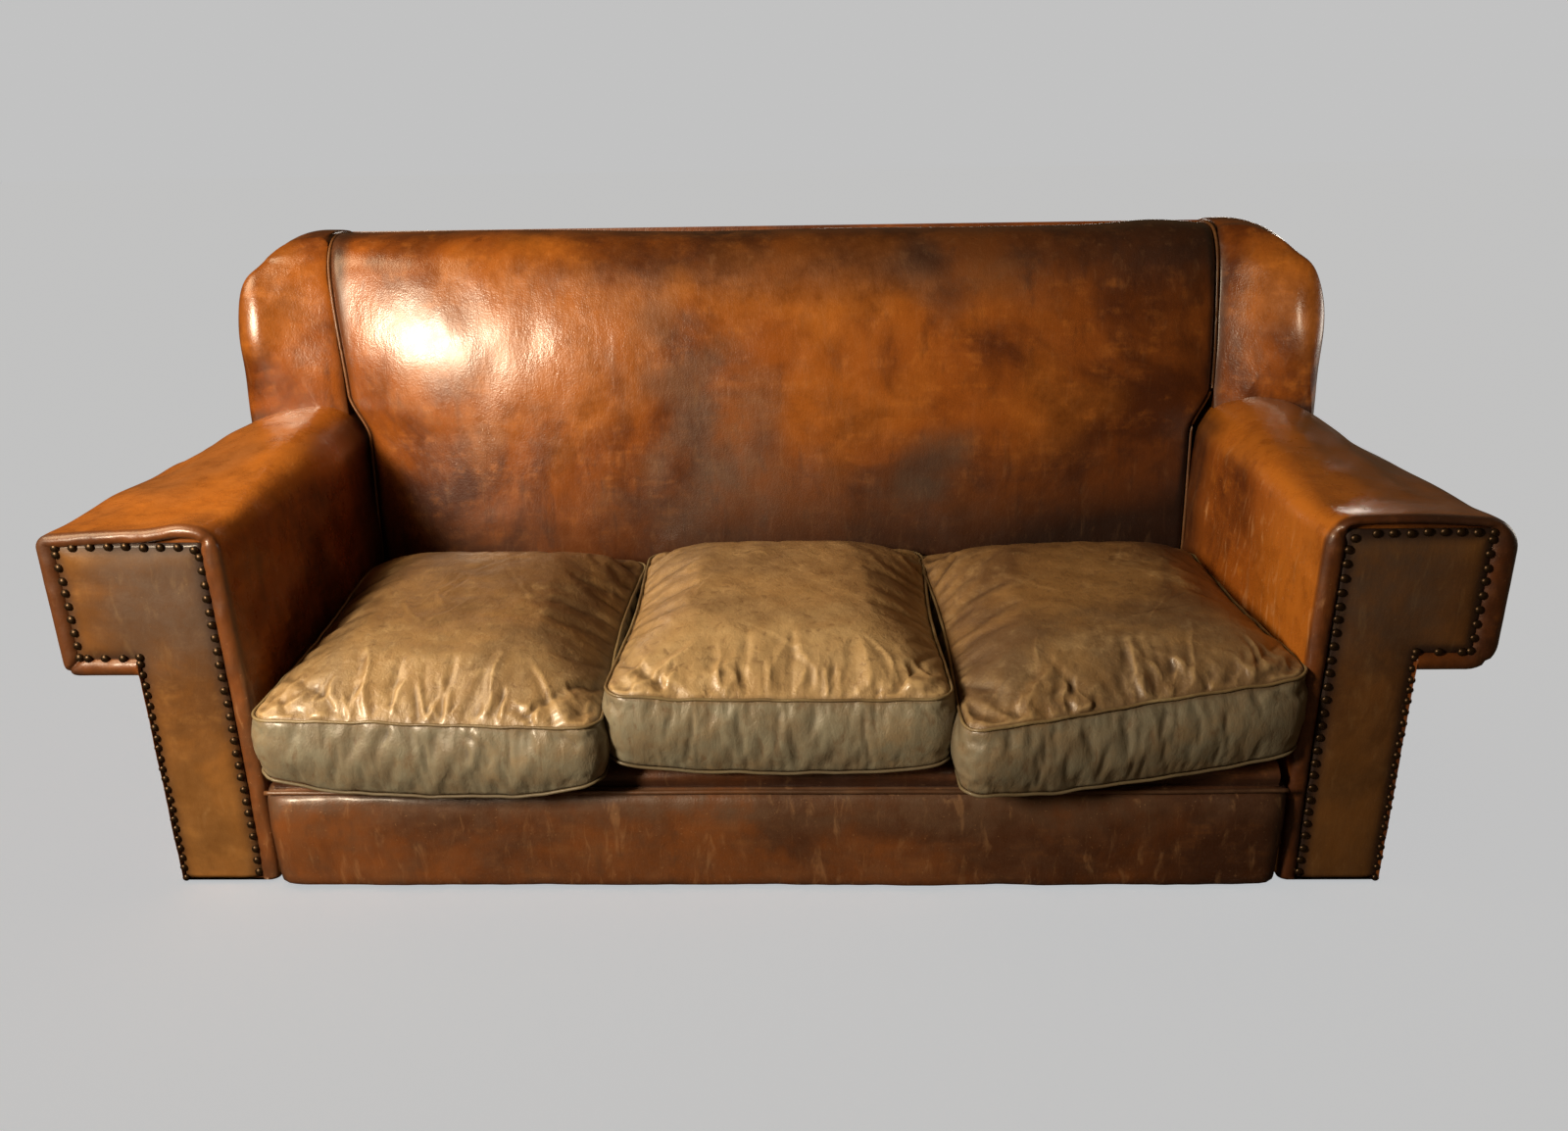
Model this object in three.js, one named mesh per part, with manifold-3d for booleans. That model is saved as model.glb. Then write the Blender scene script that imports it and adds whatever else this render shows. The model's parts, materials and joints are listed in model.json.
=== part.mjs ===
// A worn three-seat leather club sofa, built as it would come apart on a bench: beech frame, webbing and
// spring units, stuffing, leather covers and three loose seat cushions. Millimetres, +Z up, front facing -Y,
// +X to the right of someone looking at its front. It is centred on its own depth and stands on Z 0.
import * as THREE from "three";
import { mergeVertices } from "three/addons/utils/BufferGeometryUtils.js";
import Module from "manifold-3d";

// Driving dimensions. Y is measured from the flat front of the arms, and Z from the floor.
const BASE_Z = 6; // the lower edge of the leather, held off the floor by the glides
const ARM = { inner: 820, outer: 1100, leg: 981, top: 610, under: 374, rise: 58, riseEnd: 600, swell: 22 };
const BORDER = 30; // width of the padded roll around the arm's nailed facing
const SEAM_X = 837; // where the back meets the wings
const WING = { outer: 1055, top: 979, cornerX: 175, cornerZ: 215, front: 612 };
const WING_BOARD_Y = 776; // front of the shaped board in each wing
const BACK = { foot: 775, lean: 0.0724, swell: 42 }; // lean is how far it goes back for its height
const POST = { inner: 850, width: 36, depth: 44, top: 935 }; // the back posts
const BOARD_TOP = { top: 578, shelf: 560 }; // the arm rails that carry the top of the arm
const DECK_Z = 221; // top of the sprung platform under the cushions
const RAIL = { half: 812, front: -36, top: 184 };
const SEAT = { half: 802, back: 698, tuck: 190 }; // tuck is how far down the inside arm leather goes
const RAIL_BOARD = { front: 5, rear: 30, foot: 12, top: 150 }; // the board in the front rail
const FOOT = { x: 958, front: 60, rear: 670, top: 11.7 }; // the glides
const LEATHER = 2; // thickness of every cover
const GAP = 0.6; // room between a cover and its stuffing
const CLEAR = 0.5; // room left around anything that another piece is cut around

const wasm = await Module();
wasm.setup();

const finish = {
  tan: new THREE.MeshStandardMaterial({ color: "#8a4a1c", roughness: 0.38 }),
  facing: new THREE.MeshStandardMaterial({ color: "#7b4f24", roughness: 0.45 }),
  olive: new THREE.MeshStandardMaterial({ color: "#7d6a45", roughness: 0.5 }),
  beech: new THREE.MeshStandardMaterial({ color: "#c9a36f", roughness: 0.75 }),
  fibre: new THREE.MeshStandardMaterial({ color: "#cbbf9f", roughness: 0.95 }),
  feather: new THREE.MeshStandardMaterial({ color: "#ded8c8", roughness: 0.95 }),
  jute: new THREE.MeshStandardMaterial({ color: "#a98552", roughness: 0.95 }),
  cloth: new THREE.MeshStandardMaterial({ color: "#2c2a28", roughness: 0.95 }),
  steel: new THREE.MeshStandardMaterial({ color: "#8f9296", roughness: 0.4, metalness: 1 }),
};

const clamp = (v, low, high) => Math.min(high, Math.max(low, v));
const smooth = (v) => clamp(v, 0, 1) ** 2 * (3 - 2 * clamp(v, 0, 1));
const steps = (from, to, count) => Array.from({ length: count + 1 }, (_, i) => from + ((to - from) * i) / count);

function mesh(name, geometry, material) {
  const made = new THREE.Mesh(geometry, material);
  made.name = name;
  return made;
}

// ---- solids from points, and cuts between solids ----

// Points and triangles as one geometry, turned right side out.
function closed(points, faces) {
  const volume = faces.reduce((sum, [a, b, c]) => {
    const cross = new THREE.Vector3().crossVectors(points[b], points[c]);
    return sum + points[a].dot(cross);
  }, 0);
  const turned = volume < 0 ? faces.map(([a, b, c]) => [a, c, b]) : faces;
  return new THREE.BufferGeometry().setFromPoints(points).setIndex(turned.flat());
}

// A solid through closed rings of points, each with the same number of points, with flat or fanned ends.
function loft(rings) {
  const n = rings[0].length;
  const points = rings.flat();
  const faces = [];
  for (let r = 0; r + 1 < rings.length; r++)
    for (let i = 0; i < n; i++) {
      const j = (i + 1) % n;
      faces.push([r * n + i, r * n + j, (r + 1) * n + i], [r * n + j, (r + 1) * n + j, (r + 1) * n + i]);
    }
  for (const [start, flip] of [[0, true], [(rings.length - 1) * n, false]]) {
    const middle = new THREE.Vector3();
    for (let i = 0; i < n; i++) middle.addScaledVector(points[start + i], 1 / n);
    const centre = points.push(middle) - 1;
    for (let i = 0; i < n; i++) {
      const j = (i + 1) % n;
      faces.push(flip ? [centre, start + j, start + i] : [centre, start + i, start + j]);
    }
  }
  return closed(points, faces);
}

// A skin or an even layer of stuffing behind a grid of points: it lies gap behind the surface and is thick deep.
function layer(grid, thick, gap, inwards) {
  const rows = grid.length;
  const columns = grid[0].length;
  const between = (from, to) => new THREE.Vector3().subVectors(to, from);
  const normal = (r, c) => {
    const along = between(grid[Math.max(r - 1, 0)][c], grid[Math.min(r + 1, rows - 1)][c]);
    const across = between(grid[r][Math.max(c - 1, 0)], grid[r][Math.min(c + 1, columns - 1)]);
    return along.cross(across).normalize().multiplyScalar(inwards);
  };
  const points = [];
  for (const depth of [gap, gap + thick])
    for (let r = 0; r < rows; r++)
      for (let c = 0; c < columns; c++) points.push(grid[r][c].clone().addScaledVector(normal(r, c), depth));
  const at = (side, r, c) => side * rows * columns + r * columns + c;
  const faces = [];
  const quad = (a, b, c, d) => faces.push([a, b, c], [a, c, d]);
  const rim = (corners, reversed) => quad(...(reversed ? corners.reverse() : corners));
  for (let r = 0; r + 1 < rows; r++)
    for (let c = 0; c + 1 < columns; c++) {
      quad(at(0, r, c), at(0, r, c + 1), at(0, r + 1, c + 1), at(0, r + 1, c));
      quad(at(1, r, c), at(1, r + 1, c), at(1, r + 1, c + 1), at(1, r, c + 1));
    }
  for (let r = 0; r + 1 < rows; r++)
    for (const c of [0, columns - 1]) rim([at(0, r, c), at(0, r + 1, c), at(1, r + 1, c), at(1, r, c)], c > 0);
  for (let c = 0; c + 1 < columns; c++)
    for (const r of [0, rows - 1]) rim([at(0, r, c), at(1, r, c), at(1, r, c + 1), at(0, r, c + 1)], r > 0);
  return closed(points, faces);
}

function solidOf(geometry) {
  const loose = geometry.index ? geometry.toNonIndexed() : geometry;
  const bare = new THREE.BufferGeometry().setAttribute("position", loose.getAttribute("position"));
  const merged = mergeVertices(bare, 1e-3);
  const { array } = merged.attributes.position;
  return new wasm.Manifold(
    new wasm.Mesh({ numProp: 3, vertProperties: array, triVerts: new Uint32Array(merged.index.array) }),
  );
}

function geometryOf(solid) {
  const { vertProperties, triVerts } = solid.getMesh();
  return new THREE.BufferGeometry()
    .setAttribute("position", new THREE.BufferAttribute(vertProperties, 3))
    .setIndex(new THREE.BufferAttribute(triVerts, 1));
}

const cut = (geometry, ...tools) =>
  geometryOf(tools.reduce((left, tool) => left.subtract(solidOf(tool)), solidOf(geometry)));
const join = (...geometries) => geometryOf(geometries.map(solidOf).reduce((a, b) => a.add(b)));

// A box between two corners.
function block([x0, y0, z0], [x1, y1, z1]) {
  const middle = [(x0 + x1) / 2, (y0 + y1) / 2, (z0 + z1) / 2];
  return new THREE.BoxGeometry(x1 - x0, y1 - y0, z1 - z0).translate(...middle);
}

const board = (name, low, high) => mesh(name, block(low, high), finish.beech);

const shapeOf = (outline) => new THREE.Shape(outline.map(([u, v]) => new THREE.Vector2(u, v)));

// A shape drawn in X and Z, as deep as depth along +Y from y.
function slab(shape, y, depth) {
  return new THREE.ExtrudeGeometry(shape, { depth, bevelEnabled: false, curveSegments: 6 })
    .rotateX(Math.PI / 2)
    .translate(0, y + depth, 0);
}

// The same for an outline in Y and Z, wide along +X from x.
function plank(outline, x, width) {
  return new THREE.ExtrudeGeometry(shapeOf(outline), { depth: width, bevelEnabled: false })
    .rotateX(Math.PI / 2)
    .rotateZ(Math.PI / 2)
    .translate(x, 0, 0);
}

// ---- the arm's cross-section, in X and Z, for the right arm ----

const armRise = (y) => ARM.rise * smooth(y / ARM.riseEnd);
const TURNED_IN = 29; // as far back as this the inside arm leather reaches right down beside the front rail

// From the foot of the inside face, over the top and round the overhang to its underside, moved in by inset.
function armSection(y, inset = 0) {
  const foot = y < TURNED_IN ? BASE_Z : SEAT.tuck;
  const rise = armRise(y);
  const round = 34 + 0.35 * rise;
  const outerRound = 26;
  const swell = ARM.swell * (0.2 + 0.8 * smooth(y / 350));
  const share = (z) => clamp((z - BASE_Z) / (ARM.top + rise - BASE_Z), 0, 1);
  const inner = (z) => ARM.inner - swell * Math.sin(Math.PI * share(z) ** 0.8);
  const shoulder = ARM.top + rise - round;
  const section = steps(foot, shoulder, 4).map((z) => [inner(z), z]);
  const arc = (cx, cz, r, from, to, count) =>
    steps(from, to, count)
      .map((a) => [cx + r * Math.cos(a), cz + r * Math.sin(a)])
      .slice(1);
  section.push(...arc(inner(shoulder) + round, shoulder, round, Math.PI, Math.PI / 2, 3));
  const [flatStart] = section.at(-1);
  const flatEnd = ARM.outer - outerRound;
  const crown = (u) => ARM.top - 4 * u + rise * (1 - u ** 2.2);
  const across = (u) => [flatStart + u * (flatEnd - flatStart), crown(u)];
  section.push(...steps(0, 1, 4).slice(1).map(across));
  section.push(...arc(flatEnd, crown(1) - outerRound, outerRound, Math.PI / 2, 0, 3));
  section.push(...arc(flatEnd, ARM.under + outerRound, outerRound, 0, -Math.PI / 2, 3));
  section.push([ARM.leg + 4, ARM.under]);
  if (!inset) return section;
  return section.map(([x, z], i) => {
    const [ax, az] = section[Math.max(i - 1, 0)];
    const [bx, bz] = section[Math.min(i + 1, section.length - 1)];
    const length = Math.hypot(bx - ax, bz - az);
    return [x + (inset * (bz - az)) / length, z - (inset * (bx - ax)) / length];
  });
}

const sectionAt = (y, inset = 0, at = y) => armSection(y, inset).map(([x, z]) => new THREE.Vector3(x, at, z));
const ARM_ROWS = [TURNED_IN - 1, TURNED_IN + 0.8, 180, 330, 480, 630];
const outsideBack = (z) => BACK.foot + BACK.lean * z; // the plane of the outside back
const ARM_END = outsideBack(ARM.under) - 8;

// The whole arm as one solid, a little proud, to cut its neighbours with.
function armEnvelope() {
  const ring = (y) => [
    new THREE.Vector3(ARM.inner - 2, y, BASE_Z - 2),
    ...sectionAt(y, -CLEAR),
    new THREE.Vector3(ARM.leg + CLEAR, y, ARM.under - CLEAR),
    new THREE.Vector3(ARM.leg + CLEAR, y, BASE_Z),
  ];
  return loft(ARM_ROWS.map(ring).concat([ring(900)]));
}

const mirrored = (geometry) => geometryOf(solidOf(geometry).mirror([1, 0, 0]));

// The line of the nails: the outline of the arm's flat facing, inside its padded roll.
function facingOutline(inset) {
  const roll = BORDER + inset;
  return [
    [ARM.inner + roll, BASE_Z + 4],
    [ARM.inner + roll, ARM.top - roll],
    [ARM.outer - roll, ARM.top - roll],
    [ARM.outer - roll, ARM.under + roll],
    [ARM.leg - inset, ARM.under + roll],
    [ARM.leg - inset, BASE_Z + 4],
  ];
}

// The right back post, which leans with the back, grown by clear all round.
function backPost(clear) {
  const rear = (z) => outsideBack(z) - BASE_Z + clear;
  const front = (z) => outsideBack(z) - BASE_Z - POST.depth - clear;
  const [low, high] = [2 * BASE_Z - clear, POST.top + clear];
  const outline = [[front(low), low], [rear(low), low], [rear(high), high], [front(high), high]];
  return plank(outline, POST.inner - clear, POST.width + 2 * clear);
}

// A rail between the back posts, from one height to another.
const [TOP_RAIL, TACKING_RAIL] = [[886, 932], [200, 250]];
function backRail([low, high], clear) {
  const corner = (depth, z) => [outsideBack(z) - depth, z];
  const [front, rear, bottom, top] = [50 + clear, 12 - clear, low - clear, high + clear];
  const outline = [corner(front, bottom), corner(rear, bottom), corner(rear, top), corner(front, top)];
  const half = POST.inner - 1 + clear;
  return plank(outline, -half, 2 * half);
}

// ---- arms: frame boards, stuffing, covers and nailed facing; built on the right and mirrored for the left ----

function arm(side, turn) {
  const group = new THREE.Group();
  group.scale.x = turn;
  const rows = [10, ...ARM_ROWS, ARM_END].map((y) => sectionAt(y));
  const lip = [sectionAt(0, BORDER, 1), sectionAt(0, BORDER / 2, -5), sectionAt(0, 4, -3)];
  const stuffing = layer(rows, 24, LEATHER + GAP, 1);
  const cover = layer([...lip, ...rows], LEATHER, 0, 1);
  const slots = [
    backPost(CLEAR),
    behindBack(1),
    backRail(TACKING_RAIL, CLEAR),
    block([700, RAIL_BOARD.front - CLEAR, -50], [850, RAIL_BOARD.rear + CLEAR, RAIL_BOARD.top + CLEAR]),
  ];
  const sideOutline = [
    [4, BASE_Z],
    [outsideBack(BASE_Z) - 4, BASE_Z],
    [ARM_END - 2, ARM.under - 1],
    [4, ARM.under - 1],
  ];
  const behindFrontBoard = 26.5;
  group.add(
    mesh(`${side}_arm_cover`, cut(cover, ...slots), finish.tan),
    mesh(`${side}_arm_stuffing`, cut(stuffing, ...slots), finish.fibre),
    mesh(`${side}_arm_front_board`, slab(shapeOf(facingOutline(8)), 6, 20), finish.beech),
    mesh(`${side}_arm_facing`, slab(shapeOf(facingOutline(5)), 1, 3), finish.facing),
    mesh(`${side}_outside_arm_cover`, plank(sideOutline, ARM.leg - LEATHER, LEATHER), finish.tan),
    board(`${side}_arm_top_rail`, [887, behindFrontBoard, BOARD_TOP.shelf], [1050, 796, BOARD_TOP.top]),
    board(`${side}_arm_outer_rail`, [1050.5, behindFrontBoard, 410], [1068, 784, BOARD_TOP.top]),
    board(`${side}_arm_tacking_rail`, [852, behindFrontBoard, 236], [872, 742, 276]),
    board(`${side}_arm_bottom_rail`, [940, behindFrontBoard, 12], [976, SEAT.back - 1, 72]),
  );
  return group;
}

// ---- wings: the rounded ends of the back, which stand on the arms ----

// The wing's front outline, from SEAM_X outwards, inset all round.
function wingOutline(inset) {
  const shape = new THREE.Shape();
  const left = SEAM_X + 4 + inset;
  const [right, top] = [WING.outer - inset, WING.top - inset];
  const [radiusX, radiusZ] = [WING.cornerX - inset, WING.cornerZ - inset];
  shape.moveTo(left, BOARD_TOP.shelf);
  shape.lineTo(right, BOARD_TOP.shelf);
  shape.lineTo(right, top - radiusZ);
  shape.absellipse(right - radiusX, top - radiusZ, radiusX, radiusZ, 0, Math.PI / 2, false, 0);
  shape.lineTo(left, top);
  return shape;
}

// The same outline with rounded front edges, from front to rear along Y, inset all round.
function wingForm(inset, rear) {
  const roll = 30;
  const ring = (y, extra) =>
    wingOutline(inset + extra)
      .extractPoints(5)
      .shape.map(({ x, y: z }) => new THREE.Vector3(x, y, z));
  const front = WING.front + inset;
  const rolled = steps(0, Math.PI / 2, 3).map((a) =>
    ring(front + roll * (1 - Math.sin(a)), roll * (1 - Math.cos(a))),
  );
  return loft([...rolled.reverse(), ring(rear, 0)].sort((a, b) => a[0].y - b[0].y));
}

// The outside back leans, so what reaches it is trimmed to its plane.
function behindBack(clear) {
  const [height, rear, half] = [1200, 2000, 1300];
  const outline = [[BACK.foot - clear, 0], [rear, 0], [rear, height], [outsideBack(height) - clear, height]];
  return plank(outline, -half, 2 * half);
}

function wing(side, turn) {
  const group = new THREE.Group();
  group.scale.x = turn;
  const rear = 900;
  const trims = [armEnvelope(), behindBack(2)];
  const inside = wingForm(LEATHER, rear + 50);
  const cover = cut(wingForm(0, rear), ...trims, inside, backPost(CLEAR), backRail(TOP_RAIL, CLEAR));
  const stuffing = cut(wingForm(LEATHER + GAP, WING_BOARD_Y - CLEAR), ...trims, backPost(CLEAR));
  group.add(
    mesh(`${side}_wing_cover`, cover, finish.tan),
    mesh(`${side}_wing_stuffing`, stuffing, finish.fibre),
    mesh(`${side}_wing_board`, wingBoard(), finish.beech),
  );
  return group;
}

// The shaped board that gives the wing its round corner.
function wingBoard() {
  const outline = new THREE.Shape();
  const [left, right, low, top] = [887, 1025, 690, 950];
  const [radiusX, radiusZ] = [125, 165];
  outline.moveTo(left, low);
  outline.lineTo(right, low);
  outline.lineTo(right, top - radiusZ);
  outline.absellipse(right - radiusX, top - radiusZ, radiusX, radiusZ, 0, Math.PI / 2, false, 0);
  outline.lineTo(left, top);
  return slab(outline, WING_BOARD_Y, 20);
}

// ---- back: stuffed inside back, frame and flat outside back ----

// The side profile of the inside back, as [Y, Z] from under the cushions, up the front and over the top.
const backProfile = new THREE.SplineCurve([
  new THREE.Vector2(592, 226),
  new THREE.Vector2(578, 320),
  new THREE.Vector2(586, 440),
  new THREE.Vector2(606, 600),
  new THREE.Vector2(626, 760),
  new THREE.Vector2(642, 880),
  new THREE.Vector2(664, 945),
  new THREE.Vector2(706, 975),
  new THREE.Vector2(760, 981),
  new THREE.Vector2(812, 970),
  new THREE.Vector2(841, 940),
]);

// The inside back's surface: crowned between the seams, most at the middle of its height.
function backGrid(half) {
  return backProfile.getPoints(15).map(({ x: y, y: z }) =>
    steps(-1, 1, 10).map((u) => {
      const bulge = (1 - Math.abs(u) ** 5) * Math.sin(Math.PI * clamp((z - 60) / 1000, 0, 1));
      const front = smooth((790 - y) / 150);
      return new THREE.Vector3(u * half, y - BACK.swell * bulge * front, z);
    }),
  );
}

const stuffingRear = (z) => outsideBack(z) - 62;

// The stuffing's side profile at each place across the back: 8 mm behind the leather, then down its flat rear.
function backStuffing() {
  const grid = backGrid(SEAM_X - 1);
  const [low, high] = [228, 942];
  const profiles = grid[0].map(({ x }, c) => {
    const column = grid.map((row) => row[c]);
    const skin = column.map((p, i) => {
      const [a, b] = [column[Math.max(i - 1, 0)], column[Math.min(i + 1, column.length - 1)]];
      const along = new THREE.Vector3().subVectors(b, a).normalize();
      return p.clone().addScaledVector(new THREE.Vector3(0, along.z, -along.y), 8);
    });
    const rear = [[812, high], [stuffingRear(high), high], [stuffingRear(low), low]];
    return [...skin.filter(({ y }) => y < 800), ...rear.map(([y, z]) => new THREE.Vector3(x, y, z))];
  });
  return loft(profiles);
}

// An upright slat between the two rails of the back.
function backSlat(name, x) {
  const [width, low, high] = [40, TACKING_RAIL[1] + 1, TOP_RAIL[0] - 1];
  const front = (z) => stuffingRear(z) + 12;
  const rear = (z) => stuffingRear(z) + 46;
  const outline = [[front(low), low], [rear(low), low], [rear(high), high], [front(high), high]];
  return mesh(name, plank(outline, x - width / 2, width), finish.beech);
}

function back() {
  const group = new THREE.Group();
  const arms = [armEnvelope(), mirrored(armEnvelope())];
  const webs = webbing(790, [206, 925], 5, 3)
    .rotateX(Math.PI / 2 - Math.atan(BACK.lean))
    .translate(0, stuffingRear(0) + 6, 0);
  group.add(
    mesh("inside_back_cover", cut(layer(backGrid(SEAM_X), LEATHER, 0, 1), ...arms), finish.tan),
    mesh("back_stuffing", cut(backStuffing(), ...arms), finish.fibre),
    mesh("back_webbing", webs, finish.jute),
    mesh("back_top_rail", backRail(TOP_RAIL, 0), finish.beech),
    mesh("back_tacking_rail", backRail(TACKING_RAIL, 0), finish.beech),
    backSlat("left_back_slat", -280),
    backSlat("right_back_slat", 280),
    mesh("left_back_post", mirrored(backPost(0)), finish.beech),
    mesh("right_back_post", backPost(0), finish.beech),
    mesh("outside_back_cover", outsideBackCover(), finish.tan),
  );
  return group;
}

// One flat panel that closes the whole rear: legs, arm overhangs, wings and back.
function outsideBackCover() {
  const shape = new THREE.Shape();
  const lean = Math.hypot(1, BACK.lean);
  const z = (height) => height * lean;
  const [leg, outer, wingX, round] = [ARM.leg, ARM.outer, WING.outer, 20];
  const [cornerX, cornerZ] = [wingX - WING.cornerX, z(WING.top) - WING.cornerZ];
  shape.moveTo(-leg, z(BASE_Z));
  shape.lineTo(leg, z(BASE_Z));
  shape.lineTo(leg, z(ARM.under));
  shape.lineTo(outer - round, z(ARM.under));
  shape.absarc(outer - round, z(ARM.under) + round, round, -Math.PI / 2, 0);
  shape.absarc(outer - round, z(ARM.top) - round, round, 0, Math.PI / 2);
  shape.lineTo(wingX, z(ARM.top + 8));
  shape.absellipse(cornerX, cornerZ, WING.cornerX, WING.cornerZ, 0, Math.PI / 2);
  shape.absellipse(-cornerX, cornerZ, WING.cornerX, WING.cornerZ, Math.PI / 2, Math.PI);
  shape.lineTo(-wingX, z(ARM.top + 8));
  shape.absarc(round - outer, z(ARM.top) - round, round, Math.PI / 2, Math.PI);
  shape.absarc(round - outer, z(ARM.under) + round, round, Math.PI, 1.5 * Math.PI);
  shape.lineTo(-leg, z(ARM.under));
  return new THREE.ExtrudeGeometry(shape, { depth: LEATHER, bevelEnabled: false, curveSegments: 5 })
    .rotateX(Math.PI / 2 - Math.atan(BACK.lean))
    .translate(0, BACK.foot + LEATHER, 0);
}

// Interlaced strips of webbing as one lattice, lying flat in X and Y and 2 mm thick.
function webbing(half, [low, high], columns, rows) {
  const strip = 50;
  const along = steps(-half, half - strip, columns).map((x) => block([x, low, 0], [x + strip, high, 2]));
  const across = steps(low, high - strip, rows).map((y) => block([-half, y, 0], [half, y + strip, 2]));
  return join(...along, ...across);
}

// ---- seat: box frame, webbing, spring units, platform and front rail ----

// One hourglass coil of wire, with half a flat turn at each end.
function coil(x, y, low, high) {
  const turns = 3;
  const wire = shapeOf([[-2, -2], [2, -2], [0, 2.4]]);
  const route = steps(0, 1, turns * 6).map((t) => {
    const radius = 26 + 18 * (2 * t - 1) ** 2;
    const angle = (t * turns + 0.25) * 2 * Math.PI;
    const height = low + clamp((t * turns - 0.5) / (turns - 1), 0, 1) * (high - low);
    return new THREE.Vector3(x + radius * Math.cos(angle), y + radius * Math.sin(angle), height);
  });
  return new THREE.ExtrudeGeometry(wire, {
    steps: route.length - 1,
    extrudePath: new THREE.CatmullRomCurve3(route),
    bevelEnabled: false,
  });
}

// Four coils riveted to two steel laths and clipped to a wire frame on top.
function springUnit(name, middle) {
  const [low, high] = [19, 160.5];
  const columns = [middle - 115, middle + 115];
  const rows = [190, 510];
  const pieces = columns.flatMap((x) => [
    block([x - 10, 60, low - 2], [x + 10, 660, low + 1]),
    block([x - 2, 80, high - 2], [x + 2, 620, high + 2]),
  ]);
  for (const y of rows) pieces.push(block([middle - 180, y - 2, high - 2], [middle + 180, y + 2, high + 2]));
  for (const x of columns) for (const y of rows) pieces.push(coil(x, y, low, high));
  return mesh(name, join(...pieces), finish.steel);
}

// A layer that follows a [Y, Z] line from the front, across the seat's width.
function acrossSeat(half, line, thick, gap) {
  const grid = line.map(([y, z]) => steps(-half, half, 6).map((x) => new THREE.Vector3(x, y, z)));
  return layer(grid, thick, gap, 1);
}

const deckLine = [[-14, 190], [-10, 205], [0, 215], [18, 220], [60, DECK_Z], [300, DECK_Z], [640, DECK_Z]];
const railLine = [
  [10, BASE_Z],
  [-14, BASE_Z + 1],
  [-25, BASE_Z + 9],
  [-31, 45],
  [RAIL.front, 100],
  [-35, 150],
  [-30, 172],
  [-20, RAIL.top - 1],
  [-8, RAIL.top],
];

function seat() {
  const group = new THREE.Group();
  const thick = 26;
  const { front, rear, foot, top } = RAIL_BOARD;
  const [inside, back] = [rear + 1, SEAT.back - 1];
  group.add(
    board("front_seat_rail", [-857, front, foot], [857, rear, top]),
    board("back_seat_rail", [-976, SEAT.back, foot], [976, SEAT.back + thick, 110]),
    board("left_side_rail", [-SEAT.half - thick, rear + CLEAR, foot], [-SEAT.half, SEAT.back - CLEAR, 130]),
    board("right_side_rail", [SEAT.half, rear + CLEAR, foot], [SEAT.half + thick, SEAT.back - CLEAR, 130]),
    board("left_stretcher", [-284, inside, 17], [-256, back, 62]),
    board("right_stretcher", [256, inside, 17], [284, back, 62]),
    mesh("seat_webbing", webbing(800, [inside, back], 7, 3).translate(0, 0, 14), finish.jute),
    springUnit("left_spring_unit", -530),
    springUnit("centre_spring_unit", 0),
    springUnit("right_spring_unit", 530),
    mesh("spring_hessian", block([-794, 4, 164], [794, 690, 166]), finish.jute),
    mesh("seat_platform_stuffing", block([-794, 6, 168], [794, 636, 214]), finish.fibre),
    mesh("seat_platform_cover", acrossSeat(RAIL.half - 16, deckLine, LEATHER, 0), finish.tan),
    mesh("front_rail_stuffing", acrossSeat(RAIL.half - 4, railLine.slice(2, 7), 20, LEATHER + GAP), finish.fibre),
    mesh("front_rail_cover", acrossSeat(RAIL.half, railLine, LEATHER, 0), finish.tan),
    mesh("bottom_cloth", block([-950, 31, 10.5], [950, 740, 11.5]), finish.cloth),
  );
  return group;
}

// Nail-on glides with flat feet under the four corners of the frame.
function glide(name, x, y) {
  const { top } = FOOT;
  const profile = [[0, 0], [13, 0], [17, 2.5], [17, BASE_Z - 0.5], [4, BASE_Z - 0.5], [4, top], [0, top]];
  const disc = new THREE.LatheGeometry(profile.map(([r, z]) => new THREE.Vector2(r, z)), 12);
  return mesh(name, disc.rotateX(Math.PI / 2).translate(x, y, 0), finish.steel);
}

// ---- loose seat cushions: a leather cover with a slit for its zip, and the feather core inside it ----

// A crowned box with pulled-in sides. bend gives how far each end of its front edge reaches forward, and how
// far each end has sunk.
function cushionForm({ width, depth, thick, crown, bend }, shrink) {
  const halfX = width / 2 - shrink;
  const halfY = depth / 2 - shrink;
  const outline = (scale, z) =>
    steps(0, 2 * Math.PI, 20)
      .slice(0, -1)
      .map((a) => {
        const [c, s] = [Math.cos(a), Math.sin(a)];
        const power = 0.32;
        const x = Math.sign(c) * Math.abs(c) ** power * halfX;
        const y = Math.sign(s) * Math.abs(s) ** power * halfY;
        const [u, v] = [Math.abs(x / halfX), Math.abs(y / halfY)];
        const pull = 6 * ((1 - u ** 2) * v + (1 - v ** 2) * u);
        const inwards = 1 - pull / Math.max(halfX, halfY);
        return new THREE.Vector3(x * scale * inwards, y * scale * inwards, z);
      });
  const base = shrink;
  const seam = thick - shrink;
  const rings = [
    outline(0.8, base),
    outline(0.94, base),
    outline(1, base + 10),
    outline(1, seam),
    outline(0.93, seam + 0.45 * crown),
    outline(0.72, seam + 0.86 * crown),
    outline(0.36, seam + crown),
  ];
  for (const ring of rings)
    for (const p of ring) {
      const near = (reach) => smooth((reach - halfY - p.y) / reach);
      const end = (p.x / halfX + 1) / 2;
      p.z -= near(55) * (bend.leftDrop * (1 - end) + bend.rightDrop * end);
      p.y -= near(300) * (bend.leftReach * (1 - end) + bend.rightReach * end);
    }
  return loft(rings);
}

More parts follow.
